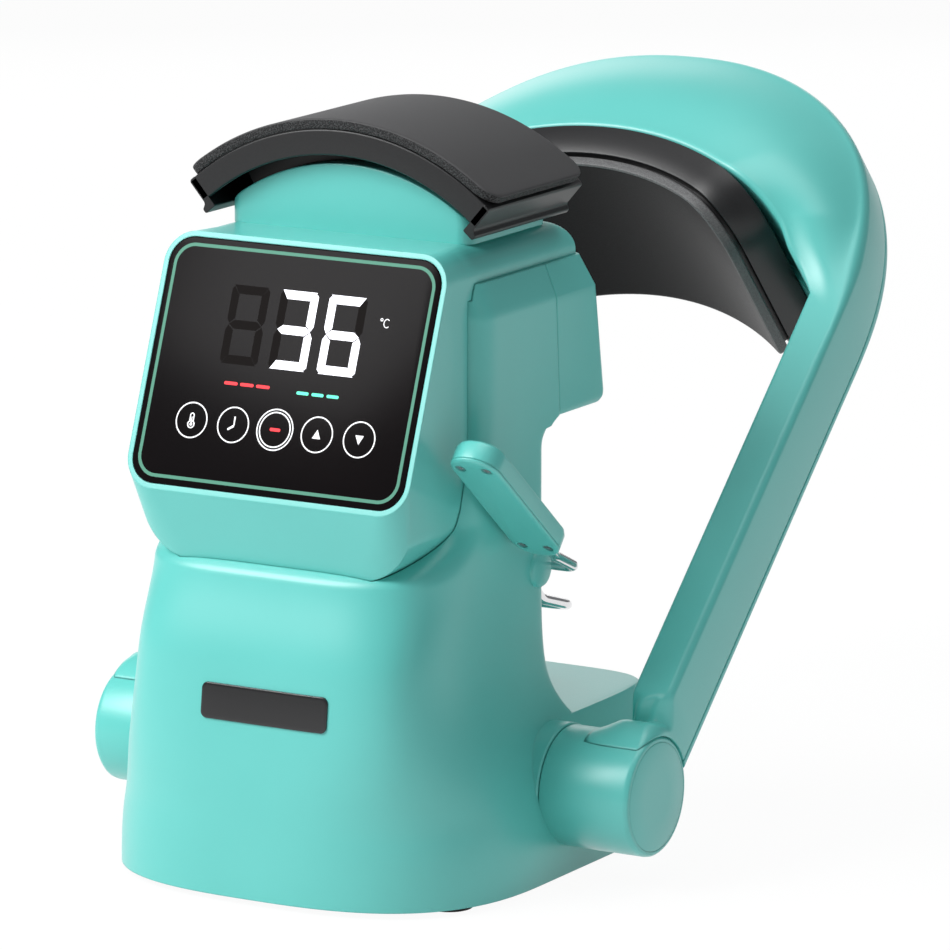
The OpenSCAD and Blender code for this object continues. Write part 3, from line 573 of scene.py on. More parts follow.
head = {
    "half": 72.3, "bottom": 152.6, "corner": 28.0, "shoulder": 14.0, "deck": 299.0, "deckBack": 57.0,
    "bezel": (151.0, 121.0, 15.5), "lean": 20.5, "y": 82.0, "z": 243.0, "chinY": -92.0, "side": -42.0,
    "rim": 2.8, "glass": 2.4}


def panelPoints(points):
    # from the display's own frame (across, up, out) to the body's
    return turnX(np.asarray(points, float), 90 - head["lean"]) + [0, -head["y"], head["z"]]


def roundedBox(w, h, r, steps=24):
    # outline of a rectangle with rounded corners, counter-clockwise
    corners = [(-w / 2, -h / 2), (w / 2, -h / 2), (w / 2, h / 2), (-w / 2, h / 2)]
    return roundedOutline(corners, [r] * 4, steps)


def circleXZ(x, y, z, r, count=96):
    # circle about an axis along Y
    a = 2 * np.pi * np.arange(count) / count
    return np.stack([x + r * np.cos(a), np.full(count, float(y)), z + r * np.sin(a)], -1)


def headFront(grow, back):
    # hull of the bezel's outline, and the rounded U of the chin behind it
    w = head["half"] + grow
    bw, bh, br = head["bezel"]
    outline = roundedBox(bw + 2 * grow, bh + 2 * grow, br + grow)
    points = [panelPoints(np.c_[outline, np.zeros(len(outline))])]
    low, high = head["bottom"] - grow + head["corner"], head["deck"] + grow - head["shoulder"]
    for s in (-1, 1):
        points.append(circleXZ(s * (w - head["corner"]), head["chinY"] - grow, low, head["corner"]))
        points.append(circleXZ(s * (w - head["corner"]), back, low, head["corner"]))
        points.append(circleXZ(s * (w - head["shoulder"]), back, high, head["shoulder"]))
    return np.concatenate(points)


def headDeck(grow, low, front):
    # deck over the body: the shoulder profile carried back, ending in a quarter round
    w, top, r = head["half"] + grow, head["deck"] + grow, head["shoulder"]
    across = roundedOutline([(-w, low), (w, low), (w, top), (-w, top)], [0, 0, r, r], 16)
    back = head["deckBack"] + grow
    t = np.linspace(0, 1, 17) * np.pi / 2
    ends = np.concatenate([[front], back - 13 + 13 * np.sin(t)])
    drop = np.concatenate([[0.0], 13 - 13 * np.cos(t)])
    z = np.minimum(across[None, :, 1], (top - drop)[:, None])
    x = np.broadcast_to(across[None, :, 0], z.shape)
    rings = np.stack([x, np.broadcast_to(ends[:, None], z.shape), z], -1)
    return rings


def boxMesh(name, low, high):
    # plain box between two corners
    xs, ys, zs = zip(low, high)
    points = [(x, y, z) for x in xs for y in ys for z in zs]
    return hullMesh(name, points)


def addMainShell():
    # base and column as one moulding, open where the control head sits, with a boss for each hub
    z = np.unique(np.round(np.concatenate([
        np.linspace(body["foot"], 65, 60), np.linspace(65, 72, 24), [72.02], np.linspace(72.3, 108, 50),
        np.linspace(108, 196, 60), np.linspace(196, 212, 30), np.linspace(212, 283, 30)]), 4))
    rings = bodyRings(z, 288)
    inner = bodyRings(np.array([body["foot"], body["foot"] + 2.8]), 288, 2.6)
    inner[:, :, 2] = np.array([body["foot"], body["foot"] + 2.8])[:, None]
    rings = np.concatenate([inner[::-1], rings])
    shell = ringSolid("main_shell_form", rings)
    bosses = np.concatenate([[[28.9, 84.0], [28.9, 98.3]], [[28.9 - 0.6, 98.9], [20, 98.9], [20, 84]]])
    for side in (-1, 1):
        ring = lathe(bosses)
        ring[..., 0] *= side
        ring += [0, pivot["y"], pivot["z"]]
        boss = looseMesh("boss", ring, gridFaces(len(ring), ring.shape[1], True).tolist()
                         + [[(len(ring) - 1) * 96 + i, (len(ring) - 1) * 96 + (i + 1) % 96, (i + 1) % 96, i]
                            for i in range(96)])
        combine(shell, boss, "UNION")
    cut(shell, hullMesh("head_cutter", headFront(body["seam"], head["side"])))
    deck = headDeck(body["seam"], 275.6, -60)
    cut(shell, ringSolid("deck_cutter", deck))
    cut(shell, boxMesh("inlet_cutter", (-53.8, 92, 25.7), (-26.2, 130, 46.3)))
    cut(shell, boxMesh("switch_cutter", (27.3, 92, 26.3), (40.7, 130, 45.7)))
    return finishPiece(shell, "base", tealPlastic, ["main_shell"])


def addSideBosses():
    # rounded bosses on the column in front of the bail's journals
    profile = [(0.01, 82.4), (6.5, 82.3), (8.2, 81.8), (9.0, 80.8), (9.3, 79.5), (9.3, 76)]
    for side, word in ((-1, "left"), (1, "right")):
        ring = lathe(profile)
        ring[..., 0] *= side
        ring += [0, 10.5, 143]
        ringPiece("bail_boss_" + word, ring, "base", tealPlastic)


def addRearHousing():
    # overhanging cover: rounded U outlines stacked up, leaning in and chamfered at the top
    z = np.concatenate([212 + 5 * (1 - np.cos(np.linspace(0, np.pi / 2, 9))), np.linspace(219, 268, 12),
                        [268.6], np.linspace(270, 282.2, 6), [283]])
    back = np.interp(z, [212, 217, 268, 283], [69, 74, 66, 60])
    back = np.where(z < 217, 69 + 5 * np.sin(np.arccos(np.clip(1 - (z - 212) / 5, -1, 1))), back)
    half = np.interp(z, [212, 214, 268, 283], [79.3, 79.9, 79.9, 74.5])
    front = bodyBack(z) + body["seam"]
    rings = []
    for level, b, h, f in zip(z, back, half, front):
        outline = roundedOutline([(-h, f), (h, f), (h, b), (-h, b)], [0.5, 0.5, 5, 5], 14)
        rings.append(np.c_[outline, np.full(len(outline), level)])
    rings = np.array(rings)
    cover = ringSolid("rear_housing_form", rings)
    deck = headDeck(body["seam"], 275.6, -60)
    cut(cover, ringSolid("deck_cutter", deck))
    return finishPiece(cover, "base", tealPlastic, ["rear_housing"])


def plateSolid(outline, low, high, place):
    # closed solid over an outline from low to high, moved by place
    n = len(outline)
    rings = np.array([np.c_[outline, np.full(n, low)], np.c_[outline, np.full(n, high)]])
    return place(rings.reshape(-1, 3)).reshape(2, n, 3)


def addControlHead():
    # the head's front block and its deck, with a recess for the glass
    block = hullMesh("control_head_form", headFront(0, head["side"]))
    deck = headDeck(0, 276, -52)
    combine(block, ringSolid("deck", deck), "UNION")
    bw, bh, br = head["bezel"]
    rim = head["rim"]
    recess = roundedBox(bw - 2 * rim + 0.5, bh - 2 * rim + 0.5, br - rim)
    rings = plateSolid(recess, -head["glass"], 6, panelPoints)
    cut(block, ringSolid("recess", rings))
    return finishPiece(block, "base", tealPlastic, ["control_head"])


# ---------- display ----------

def addDisplay():
    # black glass with a softly rounded rim
    bw, bh, br = head["bezel"]
    rim = head["rim"]
    w, h, r = bw - 2 * rim, bh - 2 * rim, br - rim - 0.2
    levels = [(-head["glass"] + 0.1, 0.0), (0.0, 0.0), (0.15, 0.12), (0.25, 0.4)]
    rings = []
    for level, inset in levels:
        outline = roundedBox(w - 2 * inset, h - 2 * inset, r - inset)
        rings.append(panelPoints(np.c_[outline, np.full(len(outline), level)]))
    rings = np.array(rings)
    ringPiece("display_glass_form", rings, "base", glassBlack, ["display_panel"])


printed = {"low": 0.2, "high": 0.29}


def addPrint(name, outlines, material, low=printed["low"], high=printed["high"]):
    # one piece of several flat marks that end a hair above the glass
    points, faces, start = [], [], 0
    for outline in outlines:
        rings = plateSolid(np.asarray(outline, float), low, high, panelPoints)
        points.append(rings.reshape(-1, 3))
        faces += [[start + i for i in f] for f in ringSurface(rings)]
        start += rings.shape[1] * 2
    piece = addMesh(name, np.concatenate(points), faces, "base", material)
    return outward(piece)


def addBand(name, outer, inner, material, low=printed["low"], high=printed["high"]):
    # one flat band between two outlines with the same number of points
    n = len(outer)
    rings = np.array([np.c_[inner, np.full(n, low)], np.c_[outer, np.full(n, low)],
                      np.c_[outer, np.full(n, high)], np.c_[inner, np.full(n, high)]])
    placed = panelPoints(rings.reshape(-1, 3))
    faces = gridFaces(4, n, True).tolist()
    faces += [[3 * n + i, 3 * n + (i + 1) % n, (i + 1) % n, i] for i in range(n)]
    return outward(addMesh(name, placed, faces, "base", material))


def segments(centre, lit, half=10.1, top=37.6, low=0.9, t=4.1, gap=0.35):
    # bars of a seven-bar numeral with mitred ends, about its middle line
    mid = (top + low) / 2
    tip, heel = half - gap - 0.6, half - t + 0.3
    flat = {
        "a": [(-tip, top), (tip, top), (heel, top - t), (-heel, top - t)],
        "d": [(-tip, low), (-heel, low + t), (heel, low + t), (tip, low)],
        "g": [(-half + 1.4, mid), (-half + t, mid + t / 2), (half - t, mid + t / 2), (half - 1.4, mid),
              (half - t, mid - t / 2), (-half + t, mid - t / 2)]}
    side = [(half - 1.0, top - 0.7), (half, top - 1.9), (half, mid + 2.6), (half - 1.3, mid + gap),
            (half - t, mid + 2.8), (half - t, top - t - 0.5)]
    flat["b"] = side
    flat["f"] = [(-x, y) for x, y in side]
    flat["c"] = [(x, 2 * mid - y) for x, y in side]
    flat["e"] = [(-x, 2 * mid - y) for x, y in side]
    return [[(x + centre, y) for x, y in flat[k]] for k in lit]


def ringOutline(x, y, r, count=96):
    # circle in the display's frame
    a = 2 * np.pi * np.arange(count) / count
    return np.c_[x + r * np.cos(a), y + r * np.sin(a)]


keys = {"pitch": 22.42, "y": -26.9, "radius": 8.45, "stroke": 0.62}


def addMarks():
    # numeral, unlit bars, frame line, key rings and plain key marks
    bw, bh, br = head["bezel"]
    outer, inner = (roundedBox(bw - 2 * inset, bh - 2 * inset, r) for inset, r in ((5.6, 10.5), (7.2, 9.0)))
    # green frame line: print with a painted glow
    addBand("display_line", outer, inner, printGreenPaintedGlow)
    addPrint("numeral_three", segments(0.3, "abgcd"), litWhite)
    addPrint("numeral_six", segments(26.2, "afgecd"), litWhite)
    ghost = segments(-25.8, "abcdefg") + segments(0.3, "fe") + segments(26.2, "b")
    # the unlit bars carry a faint painted glow of their dark colour
    addPrint("numeral_unlit", ghost, ghostPaintedGlow)
    y = keys["y"]
    for i in (-2, -1, 0, 1, 2):
        x = i * keys["pitch"]
        radii = [keys["radius"]] if i else [9.75, 8.35]
        for k, r in enumerate(radii):
            s = keys["stroke"]
            # white key rings and key marks: print with a painted glow
            addBand("key_ring_%d_%d" % (i + 3, k), ringOutline(x, y, r), ringOutline(x, y, r - s), printWhitePaintedGlow)
    up = [(-2.3, -1.9), (2.1, -1.9), (0.0, 2.4)]
    addPrint("key_mark_up", [[(keys["pitch"] + u, y + v) for u, v in up]], printWhitePaintedGlow)
    addPrint("key_mark_down", [[(2 * keys["pitch"] + u, y - v) for u, v in up][::-1]], printWhitePaintedGlow)
    x = -keys["pitch"]
    hands = np.array([[(0.2, -0.2), (0.8, -0.5), (0.75, 3.9), (-0.05, 3.9)],
                      [(0.7, -0.9), (0.1, -0.05), (-2.8, -2.0), (-2.3, -2.8)]])
    addPrint("key_mark_time", list(hands + [x, y]), printWhitePaintedGlow)
    x = -2 * keys["pitch"]
    bulb, bore = ringOutline(x, y - 1.9, 1.95, 40), ringOutline(x, y - 1.9, 1.35, 40)
    addBand("key_mark_bulb", bulb, bore, printWhitePaintedGlow)
    thread = np.array([(-0.22, -1.6), (0.22, -1.6), (0.22, 1.6), (-0.22, 1.6)]) + [x, y]
    addPrint("key_mark_mercury", [ringOutline(x, y - 1.9, 0.75, 24), thread], printWhitePaintedGlow)
    a = np.pi * np.arange(13) / 12
    tube = [np.r_[[(x + r, y - foot)], np.c_[x + r * np.cos(a), y + 2.3 + r * np.sin(a)], [(x - r, y - foot)]]
            for r, foot in ((1.2, 0.4), (0.65, 0.5))]
    addBand("key_mark_tube", *tube, printWhitePaintedGlow)
    addPrint("key_mark_run", [roundedBox(5.6, 1.5, 0.7, 6) + [0.1, y]], litRed)
    for name, length, v, spots, material in (("lamp_red", 7.2, -8.0, (-27.6, -19.0, -10.4), litRed),
                                             ("lamp_green", 6.4, -8.9, (11.0, 19.0, 27.0), litGreen)):
        addPrint(name, [roundedBox(length, 1.5, 0.7, 6) + [u, v] for u in spots], material)
    addBand("unit_degree", ringOutline(45.3, 28.6, 0.75, 32), ringOutline(45.3, 28.6, 0.38, 32), printWhitePaintedGlow)
    a = np.radians(np.linspace(45, 315, 25))
    outer = np.c_[48.2 + 1.75 * np.cos(a), 27.1 + 2.15 * np.sin(a)]
    inner = np.c_[48.2 + 1.3 * np.cos(a), 27.1 + 1.7 * np.sin(a)]
    addPrint("unit_letter", [np.r_[outer, inner[::-1]]], printWhitePaintedGlow)


badge = {"x": 5.6, "z": 93.0, "w": 67.0, "h": 16.5, "corner": 3.0, "proud": 0.9}


def addBadge():
    # bare black plate that follows the front of the body, with a softened rim
    rings = []
    w, h, corner, top = badge["w"], badge["h"], badge["corner"], badge["proud"]
    for inset, proud in ((0.0, -0.6), (0.0, top - 0.3), (0.15, top - 0.08), (0.4, top),
                         *[(0.4 + k * 0.95, top) for k in range(1, 9)]):
        outline = roundedBox(w - 2 * inset, h - 2 * inset, max(corner - inset, 0.2), 10)
        outline = refine(outline, 3, roundedBox(w, h, corner, 10))
        x, z = outline[:, 0] + badge["x"], outline[:, 1] + badge["z"]
        rings.append(np.c_[x, bodyFrontAt(x, z) - proud, z])
    rings = np.array(rings)
    ringPiece("badge_form", rings, "base", blackGloss, ["badge_plate"])


# ---------- head form ----------

form = {
    "axis": 226.0, "tray": 122.0, "front": -36.4, "back": 49.3, "angle": 41.0,
    "rim": 110.0, "pedestal": 105.0, "pedestalW": 129.2, "pedestalFront": -27.5, "pedestalBack": 45.0}


def toArc(points, axis):
    # (across, along Y, radius) to the body's frame: across is a length on a circle of 122 mm
    points = np.asarray(points, float)
    a = points[..., 0] / form["tray"]
    r = points[..., 2]
    return np.stack([r * np.sin(a), points[..., 1], axis + r * np.cos(a)], -1)


def arcSweep(section, angles, axis):
    # closed section of (radius, y) carried round an axis along Y
    a = np.radians(angles)[:, None]
    r, y = np.asarray(section, float).T
    return np.stack([r * np.sin(a), np.broadcast_to(y, (len(angles), len(y))), axis + r * np.cos(a)], -1)


def addPedestal():
    # arched block under the tray: plan with rounded corners, top on the arch's circle
    w, d = form["pedestalW"], form["pedestalBack"] - form["pedestalFront"]
    middle = (form["pedestalBack"] + form["pedestalFront"]) / 2
    plan = roundedBox(w, d, 7, 14)
    plan = refine(plan, 3)
    rings = [np.c_[plan[:, 0], plan[:, 1] + middle, np.full(len(plan), 298.6)]]
    edge = [(1.0, 1.2), (1 - 0.4 / w, 0.5), (1 - 1.2 / w, 0.1)]
    for k, sink in edge + [(t, 0) for t in np.linspace(0.975, 0.02, 24)]:
        x, y = plan[:, 0] * k, plan[:, 1] * k
        rings.append(np.c_[x, y + middle, form["axis"] + np.sqrt(form["pedestal"] ** 2 - x ** 2) - sink])
    rings = np.array(rings)
    ringPiece("pad_pedestal_form", rings, "base", tealPlastic, ["pad_pedestal"], 25)


def addTray():
    # satin tray: curved plate with a rim all round, ribs beneath and a hooked end on each side
    f, b = form["front"], form["back"]
    top, low, t = form["tray"], form["rim"], 3.0
    corners = [(top, f), (top, b), (low, b), (low, b - t),
               (top - t, b - t), (top - t, f + t), (low, f + t), (low, f)]
    section = roundedOutline(corners, [0.9, 0.9, 1.0, 1.0, 1.0, 1.0, 1.0, 1.0], 5)
    angles = np.linspace(-form["angle"], form["angle"], 121)
    rings = arcSweep(section, angles, form["axis"])
    ringPiece("pad_tray_form", rings, "base", blackSatin, ["pad_tray"])
    for y in (-16, 24):
        rib = arcSweep([(form["pedestal"], y), (top - t, y), (top - t, y + 8), (form["pedestal"], y + 8)],
                       np.linspace(-33, 33, 49), form["axis"])
        ringPiece("tray_rib_%d" % (y + 100), rib, "base", blackSatin)
    ends = np.array([(top, -3), (top, 0.6), (109, 0.6), (107.5, 3.4), (105, 3.4), (105, -3)])
    a = math.radians(form["angle"])
    turned = ends @ np.array([[math.sin(a), math.cos(a)], [math.cos(a), -math.sin(a)]]) + [0, form["axis"]]
    outline = roundedOutline(turned, [0.6, 1.4, 2.0, 1.0, 1.0, 0.6], 8)
    for side, word in ((-1, "left"), (1, "right")):
        rings = np.array([np.c_[side * outline[:, 0], np.full(len(outline), y), outline[:, 1]]
                          for y in (f, b)])
        ringPiece("tray_end_" + word, rings, "base", blackSatin)


foam = {"half": 86.6, "corner": 9.5, "thick": 5.0}


def addFoam():
    # foam sheet laid over the tray: cut open-cell edge and a smooth skin that rounds over at its border
    f, b = form["front"], form["back"]
    middle, d = (f + b) / 2, b - f
    plan = roundedBox(2 * foam["half"], d, foam["corner"], 12)
    plan = refine(plan, 1.6)

    def ring(inset, radius):
        # outline drawn in by inset at one radius; the edge rows are made a little wavy afterwards
        scale = [1 - inset / foam["half"], 1 - inset / (d / 2)]
        return np.c_[plan * scale, np.full(len(plan), radius)]

    base, top = form["tray"], form["tray"] + foam["thick"]
    steps = [(0.5, base + 0.25), (0.12, base + 0.7), (0.0, base + 1.8), (0.0, top - 1.2), (0.08, top - 0.6),
             (0.3, top - 0.25), (0.75, top - 0.05), (1.4, top)]
    edgeRows = 5
    rings = [ring(*s) for s in steps]
    for k in np.linspace(0.96, 0.02, 26):
        shrunk = plan * k * [1 - 1.4 / foam["half"], 1 - 1.4 / (d / 2)]
        rings.append(np.c_[shrunk, np.full(len(plan), top)])
    rings = np.array(rings)
    rings[..., 1] += middle
    away = np.clip((np.abs(rings[..., 0]) - 68) / 18, 0, 1)
    rings[..., 2] += 0.9 * away ** 2 * np.where(rings[..., 0] > 0, 1.0, 0.35)
    rng = np.random.default_rng(4)
    rings[1:edgeRows, :, 2] += rng.normal(0, 0.05, rings[1:edgeRows, :, 2].shape)
    placed = toArc(rings, form["axis"])
    piece = ringPiece("foam_pad_form", placed, "base", foamSkin, ["foam_pad"], 60)
    piece.data.materials.append(foamCut)
    cols = len(plan)
    index = np.zeros(len(piece.data.polygons), dtype=np.int32)
    index[:(edgeRows - 1) * cols] = 1
    piece.data.polygons.foreach_set("material_index", index)


# ---------- arm ----------

arm = {
    "tilt": 47.0, "half": 146.0, "leg": 21.0, "front": 24.0, "back": 13.0, "straight": 255.0, "arch": 164.0,
    "seam": 9.0, "curve": 182.4, "plate": 131.0, "plateT": 5.2, "groove": 2.2, "housing": 155.7,
    "archR": 156.0, "platenFront": 57.0, "platenBack": 47.0, "angle": 38.5,
    "mean": 140.0, "corner": 30.0, "heel": 4.0, "pocket": 3.0,
    "hubFront": 27.5, "hubFillet": 13.0}


def armPoints(points):
    # from the upright arm's own frame, about its pivot, to the open arm
    return turnX(np.asarray(points, float).reshape(-1, 3), -arm["tilt"]) + [0, pivot["y"], pivot["z"]]


def armStations(pocket):
    # places along the arm from the right hub over the arch to the left hub
    rows = []
    inner = arm["half"] - arm["leg"]
    for s in np.concatenate([np.linspace(4, 60, 29), np.linspace(70, 235, 34)]):
        close = float(np.clip(1 - (s - 27) / 15, 0, 1))
        wide = ease(1 - (s - 8) / 36)
        drum = math.sqrt(max(pivot["radius"] ** 2 - s ** 2, 0))
        front = mix(arm["front"], arm["hubFront"], wide)
        rows.append([arm["half"], s, inner - arm["hubFillet"] * (1 - math.sqrt(1 - close ** 2)), s,
                     -front, -mix(front, min(drum, front), ease(close)), arm["back"], arm["back"]])
    right = np.array(rows)
    turn = math.asin(inner / arm["archR"])
    u = 1 - np.cos(np.linspace(0, np.pi, 181)) * 1.0
    u = 0.55 * np.linspace(0, 2, 181) + 0.45 * u
    t = np.radians(90 * np.minimum(u, 2 - 1e-9))
    v = 1 - np.abs(1 - u)
    flare = ease(v / 0.5)
    a = turn * (1 - u)
    reach = arm["archR"] + pocket * ease((v - 0.16) / 0.1) * ease((0.55 - v) / 0.25)
    arch = np.stack([
        arm["half"] * bump(np.cos(t), 0.9), arm["straight"] + arm["arch"] * np.sin(t) ** 0.9,
        reach * np.sin(a), arm["curve"] + reach * np.cos(a),
        mix(-arm["front"], -14, ease(v / 0.6)), mix(-arm["front"], -arm["platenFront"], flare),
        np.full(len(u), arm["back"]), mix(arm["back"], arm["platenBack"], ease(v / 0.22))], -1)
    left = right[::-1].copy()
    left[:, [0, 2]] *= -1
    return np.concatenate([right, arch, left])


def armLoft(section, pocket):
    # carries section(length, depths) over the stations: each gives points (across, depth);
    # near the platen's ends the inner edge stands off the housing by the pocket
    rings = []
    for x0, s0, x1, s1, fo, fi, bo, bi in armStations(pocket):
        start, end = np.array([x0, s0]), np.array([x1, s1])
        length = np.linalg.norm(end - start)
        outline = section(length, fo, fi, bo, bi)
        flat = start + (end - start) / length * outline[:, :1]
        rings.append(armPoints(np.c_[flat[:, 0], outline[:, 1], flat[:, 1]]))
    return np.array(rings)


def frontSection(length, fo, fi, bo, bi):
    # front moulding: rounded outer ridge, face that slants to the housing's edge, rounded inner edge
    b = arm["seam"] - 0.25
    slant = (fi - fo) / length
    outer = min(7.0, 3.5 + 3.5 * abs(slant) * 4)
    outline = roundedOutline([(0, b), (0, fo), (length, fi), (length, b)], [0.5, outer, 2.4, 0.5], 9)
    long = np.linspace(0, 1, 24)[1:-1, None]
    face = outline[19] + (outline[20] - outline[19]) * long
    face[:, 1] -= 5.0 * min(1.0, abs(slant) * 2) * np.sin(np.pi * long[:, 0]) ** 1.2
    return np.concatenate([outline[:20], face, outline[20:]])


def backSection(length, fo, fi, bo, bi):
    # back moulding: shallow cover that rises behind the platen
    b = arm["seam"] + 0.25
    outline = roundedOutline([(0, b), (0, bo), (length, bi), (length, b)], [0.4, 2.0, 1.6, 0.4], 7)
    return outline


def cylinderX(name, r, x1, x2):
    # cutter along X on the arm's pivot
    ring = lathe([(r, x1), (r, x2)], 128)
    return looseMesh(name, armPoints(ring.reshape(-1, 3)).reshape(ring.shape), ringSurface(ring))


def addArmShells():
    # the two mouldings of the arm, cut where the hubs are
    for name, section, node, pocket in (("arm_front_form", frontSection, "arm_front_shell", arm["pocket"]),
                                        ("arm_back_form", backSection, "arm_back_cover", 0.0)):
        rings = armLoft(section, pocket)
        shell = ringSolid(name, rings)
        for side in (-1, 1):
            cut(shell, cylinderX("hub_cutter", pivot["radius"] + 0.02, *sorted((side * 95.0, side * 150.0))))
        finishPiece(shell, "arm", tealPlastic, [node], 40)


def addHubs():
    # hub on each side: smooth drum with a rounded rim, a thin joint line and its end disc
    drum = [(0.01, 99.4), (27.6, 99.4), (28.05, 99.55), (28.2, 100.0), (28.2, 143.0), (27.9, 144.6),
            (27.0, 145.6),
            (25.9, 145.8), (25.62, 145.8), (25.55, 145.2), (25.45, 145.2), (25.38, 145.8), (25.0, 145.95),
            (12, 146.0), (0.01, 146.0)]
    for side, word in ((-1, "left"), (1, "right")):
        ring = lathe(drum, 160)
        ring[..., 0] *= side
        placed = armPoints(ring.reshape(-1, 3)).reshape(ring.shape)
        ringPiece("arm_hub_" + word, placed, "arm", tealPlastic,
                        ["arm_hubs", "hub_covers"] if side == 1 and "arm_hubs" in nodes else [])


def platenPoints(points):
    # from the platen's own frame to the open arm: its axis lies above the pivot
    return armPoints(np.asarray(points, float).reshape(-1, 3) + [0, 0, arm["curve"]])


def arcPlate(name, rows, material, replaced=()):
    # plate round the platen's axis: each row (inset, radius) is an outline with rounded corners, and the
    # first and last rows shrink to the middle, so that both faces follow the arc
    half, f, b = math.radians(arm["angle"]) * arm["mean"], -arm["platenFront"], arm["platenBack"]
    middle = np.array([0, (f + b) / 2])
    radii = [arm["corner"], arm["corner"], arm["heel"], arm["heel"]]

    def outlineAt(e):
        # the outline drawn in by e
        corners = [(-half + e, f + e), (half - e, f + e), (half - e, b - e), (-half + e, b - e)]
        return roundedOutline(corners, [max(r - e, 0.5) for r in radii], 10)

    shrinks = np.linspace(0.03, 0.98, 22)
    steps = [(k, rows[0]) for k in shrinks] + [(1.0, row) for row in rows]
    steps += [(k, rows[-1]) for k in shrinks[::-1]]
    rings = []
    for k, (inset, radius) in steps:
        outline = middle + (refine(outlineAt(inset), 4, outlineAt(0)) - middle) * k
        a = outline[:, 0] / arm["mean"]
        rings.append(np.c_[radius * np.sin(a), outline[:, 1], radius * np.cos(a)])
    rings = np.array(rings)
    placed = platenPoints(rings).reshape(rings.shape)
    return ringPiece(name, placed, "arm", material, replaced, 40)


def addPlaten():
    # heated plate with a textured rim, dark groove, satin housing behind
    r1 = arm["plate"]
    r2 = r1 + arm["plateT"]
    r3 = r2 + arm["groove"]
    plate = [(1.1, r1), (0.45, r1 + 0.2), (0.1, r1 + 0.6), (0, r1 + 1.1), (0, r2 - 0.7), (0.7, r2)]
    piece = arcPlate("heating_plate_form", plate, plateRim, ["heating_plate"])
    piece.data.materials.append(plateCoat)
    centres = np.empty(len(piece.data.polygons) * 3)
    piece.data.polygons.foreach_get("center", centres)
    centres = centres.reshape(-1, 3) / mm - [0, pivot["y"], pivot["z"]]
    local = turnX(centres, arm["tilt"])
    radius = np.hypot(local[:, 0], local[:, 2] - arm["curve"])
    inner = radius < r1 + 0.05
    piece.data.polygons.foreach_set("material_index", inner.astype(np.int32))
    arcPlate("platen_core", [(4, r2 - 0.5), (4, r3 + 0.5)], blackSatin, ["heater_film", "heater_clamp"])
    arcPlate("platen_felt", [(8, r3 + 1.2), (8, arm["housing"] - 3)], feltPale, ["platen_insulation"])
    shell = [(1, r3), (0.3, r3 + 0.3), (0, r3 + 1), (0, arm["housing"] - 1.5), (0.45, arm["housing"] - 0.4),
             (1.5, arm["housing"])]
    arcPlate("platen_housing_form", shell, blackSatin, ["platen_housing"])


# ---------- lever and bail ----------

lever = {
    "y": 20.5, "z": 143.0, "x": 94.5, "w": 25.0, "l": 90.0, "rise": 39.5, "low": (-28.5, 16.0),
    "wire": 2.5}


def paddlePoints(points):
    # from the paddle's own frame (across, thickness, length) to the body's
    placed = turnX(np.asarray(points, float).reshape(-1, 3), 90 - lever["rise"])
    return placed + [lever["x"], lever["y"] + lever["low"][0], lever["z"] + lever["low"][1]]


def addPaddle():
    # two half shells with rounded rims and a fine joint between them
    w, l = lever["w"], lever["l"]
    halves = {
        "lever_upper_form": ("lever_upper_half", [(-4.3, 0.35), (-4.0, 0.0), (2.6, 0.0), (4.6, 0.9),
                                                  (5.6, 2.2), (6.0, 4.0)]),
        "lever_lower_form": ("lever_lower_half", [(-4.42, 0.3), (-4.7, 0.0), (-5.2, 0.15),
                                                  (-5.75, 0.75), (-6.0, 1.6)])}
    for name, (node, steps) in halves.items():
        rings = []
        for t, inset in steps:
            outline = roundedBox(w - 2 * inset, l - 2 * inset, w / 2 - 1 - inset, 18) + [0, l / 2]
            rings.append(np.c_[outline[:, 0], np.full(len(outline), t), outline[:, 1]])
        rings = np.array(rings)
        placed = paddlePoints(rings).reshape(rings.shape)
        half = ringSolid(name, placed)
        if node == "lever_lower_half":
            for x in (-6.8, 6.8):
                for z in (9, l - 9):
                    hole = rodMesh("hole", x, z, 2.6, -9, -4.9)
                    cut(half, hole)
        finishPiece(half, "hat_lever", tealPlastic, [node], 28)
    for i, (x, z) in enumerate([(-6.8, 9), (6.8, 9), (-6.8, l - 9), (6.8, l - 9)]):
        screw = rodMesh("lever_screw_%d" % (i + 1), x, z, 2.3, -5.5, -4.6)
        for turned in (0, 90):
            arms = np.array([(-1.5, -0.32), (1.5, -0.32), (1.5, 0.32), (-1.5, 0.32)])
            if turned:
                arms = arms[:, ::-1]
            points = [(x + u, t, z + v) for t in (-6.2, -5.0) for u, v in arms]
            cut(screw, hullMesh("cross", paddlePoints(points)))
        finishPiece(screw, "hat_lever", steelPlain, ["lever_screws"] if i == 0 else [])


def rodMesh(name, x, z, r, t1, t2):
    # short rod across the paddle's thickness
    a = 2 * np.pi * np.arange(32) / 32
    points = [(x + r * math.cos(k), t, z + r * math.sin(k)) for t in (t1, t2) for k in a]
    return hullMesh(name, paddlePoints(points))


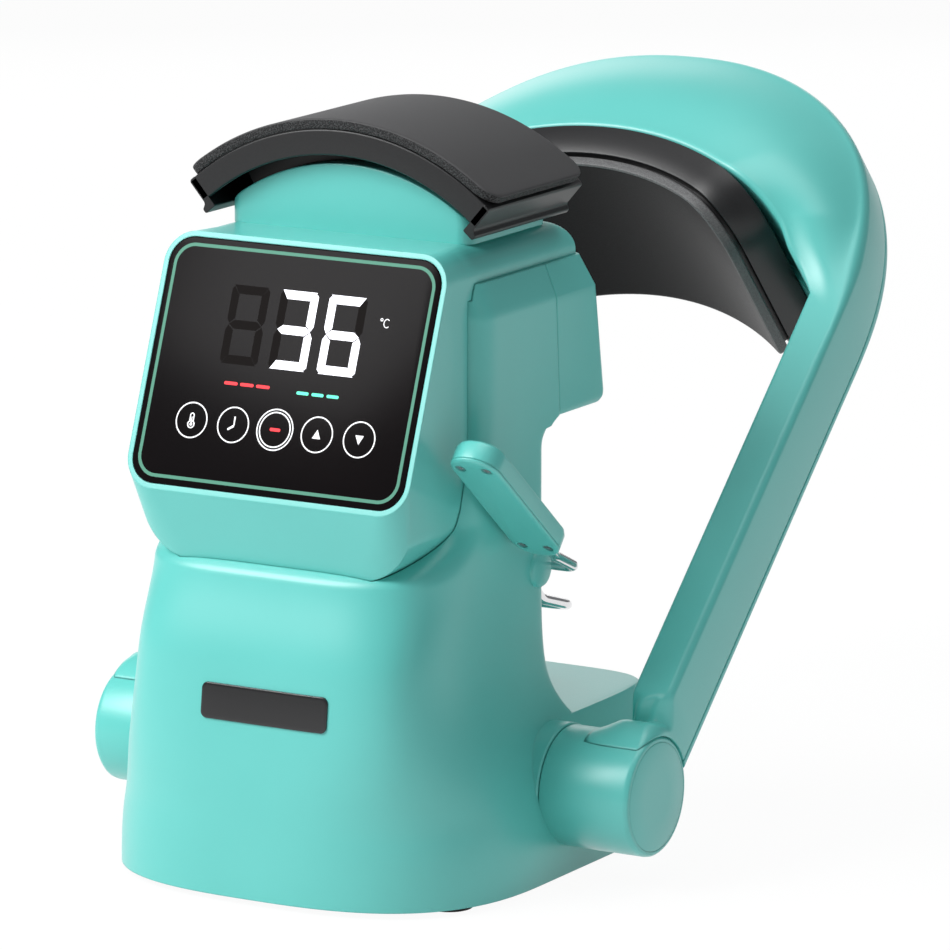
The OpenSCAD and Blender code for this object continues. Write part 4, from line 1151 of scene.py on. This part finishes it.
def bentPath(corners, bends, steps):
    # path through corners, each rounded by an arc of its own radius
    corners = np.asarray(corners, float)
    path = [corners[0]]
    for i, r in enumerate(bends, start=1):
        u = corners[i] - corners[i - 1]
        v = corners[i + 1] - corners[i]
        u, v = u / np.linalg.norm(u), v / np.linalg.norm(v)
        turn = math.acos(np.clip(u @ v, -1, 1))
        inward = v - u * (u @ v)
        inward /= np.linalg.norm(inward)
        start = corners[i] - u * r * math.tan(turn / 2)
        for a in np.linspace(0, turn, steps + 1):
            path.append(start + r * (math.sin(a) * u + (1 - math.cos(a)) * inward))
    path.append(corners[-1])
    return np.array(path)


def tubeRings(path, r, count):
    # rings square to the path, each turned as little as possible from the one before
    ahead = np.vstack([path[1:], path[-1:]]) - np.vstack([path[:1], path[:-1]])
    ahead /= np.linalg.norm(ahead, axis=1)[:, None]
    side = np.array([0.3, 0.5, 0.8])
    a = 2 * np.pi * np.arange(count) / count
    rings = []
    for p, t in zip(path, ahead):
        side = side - t * (side @ t)
        side /= np.linalg.norm(side)
        rings.append(p + r * (np.cos(a)[:, None] * side + np.sin(a)[:, None] * np.cross(t, side)))
    return np.array(rings)


def addWire():
    # chrome wire: out of the paddle, along the axis and round the bail's loop
    low, rise = lever["low"], math.radians(lever["rise"])
    half, knee, reach = 62.0, 23.0, 61.5
    kneeDrop = -knee * math.tan(math.radians(45))
    drop = kneeDrop - (reach - knee) * math.tan(math.radians(17))
    corners = [(lever["x"], low[0] - 14, low[1] + 14 * math.tan(rise)),
               (lever["x"], low[0] + 8, low[1] - 8 * math.tan(rise)), (lever["x"], 0, 0),
               (half, 0, 0), (half, knee, kneeDrop), (half, reach, drop), (-half, reach, drop),
               (-half, knee, kneeDrop), (-half, 0, 0), (-78, 0, 0)]
    path = bentPath(corners, [6, 6, 6, 14, 20, 20, 14, 6], 14) + [0, lever["y"], lever["z"]]
    rings = tubeRings(path, lever["wire"], 28)
    ringPiece("bail_wire_form", rings, "hat_lever", chromeWire, ["bail_wire"], 60)


print("body")
addMainShell()
addSideBosses()
addRearHousing()
addControlHead()
print("display")
addDisplay()
addMarks()
addBadge()
print("head form")
addPedestal()
addTray()
addFoam()
print("arm")
addArmShells()
addHubs()
addPlaten()
print("lever")
addPaddle()
addWire()

print("finish")
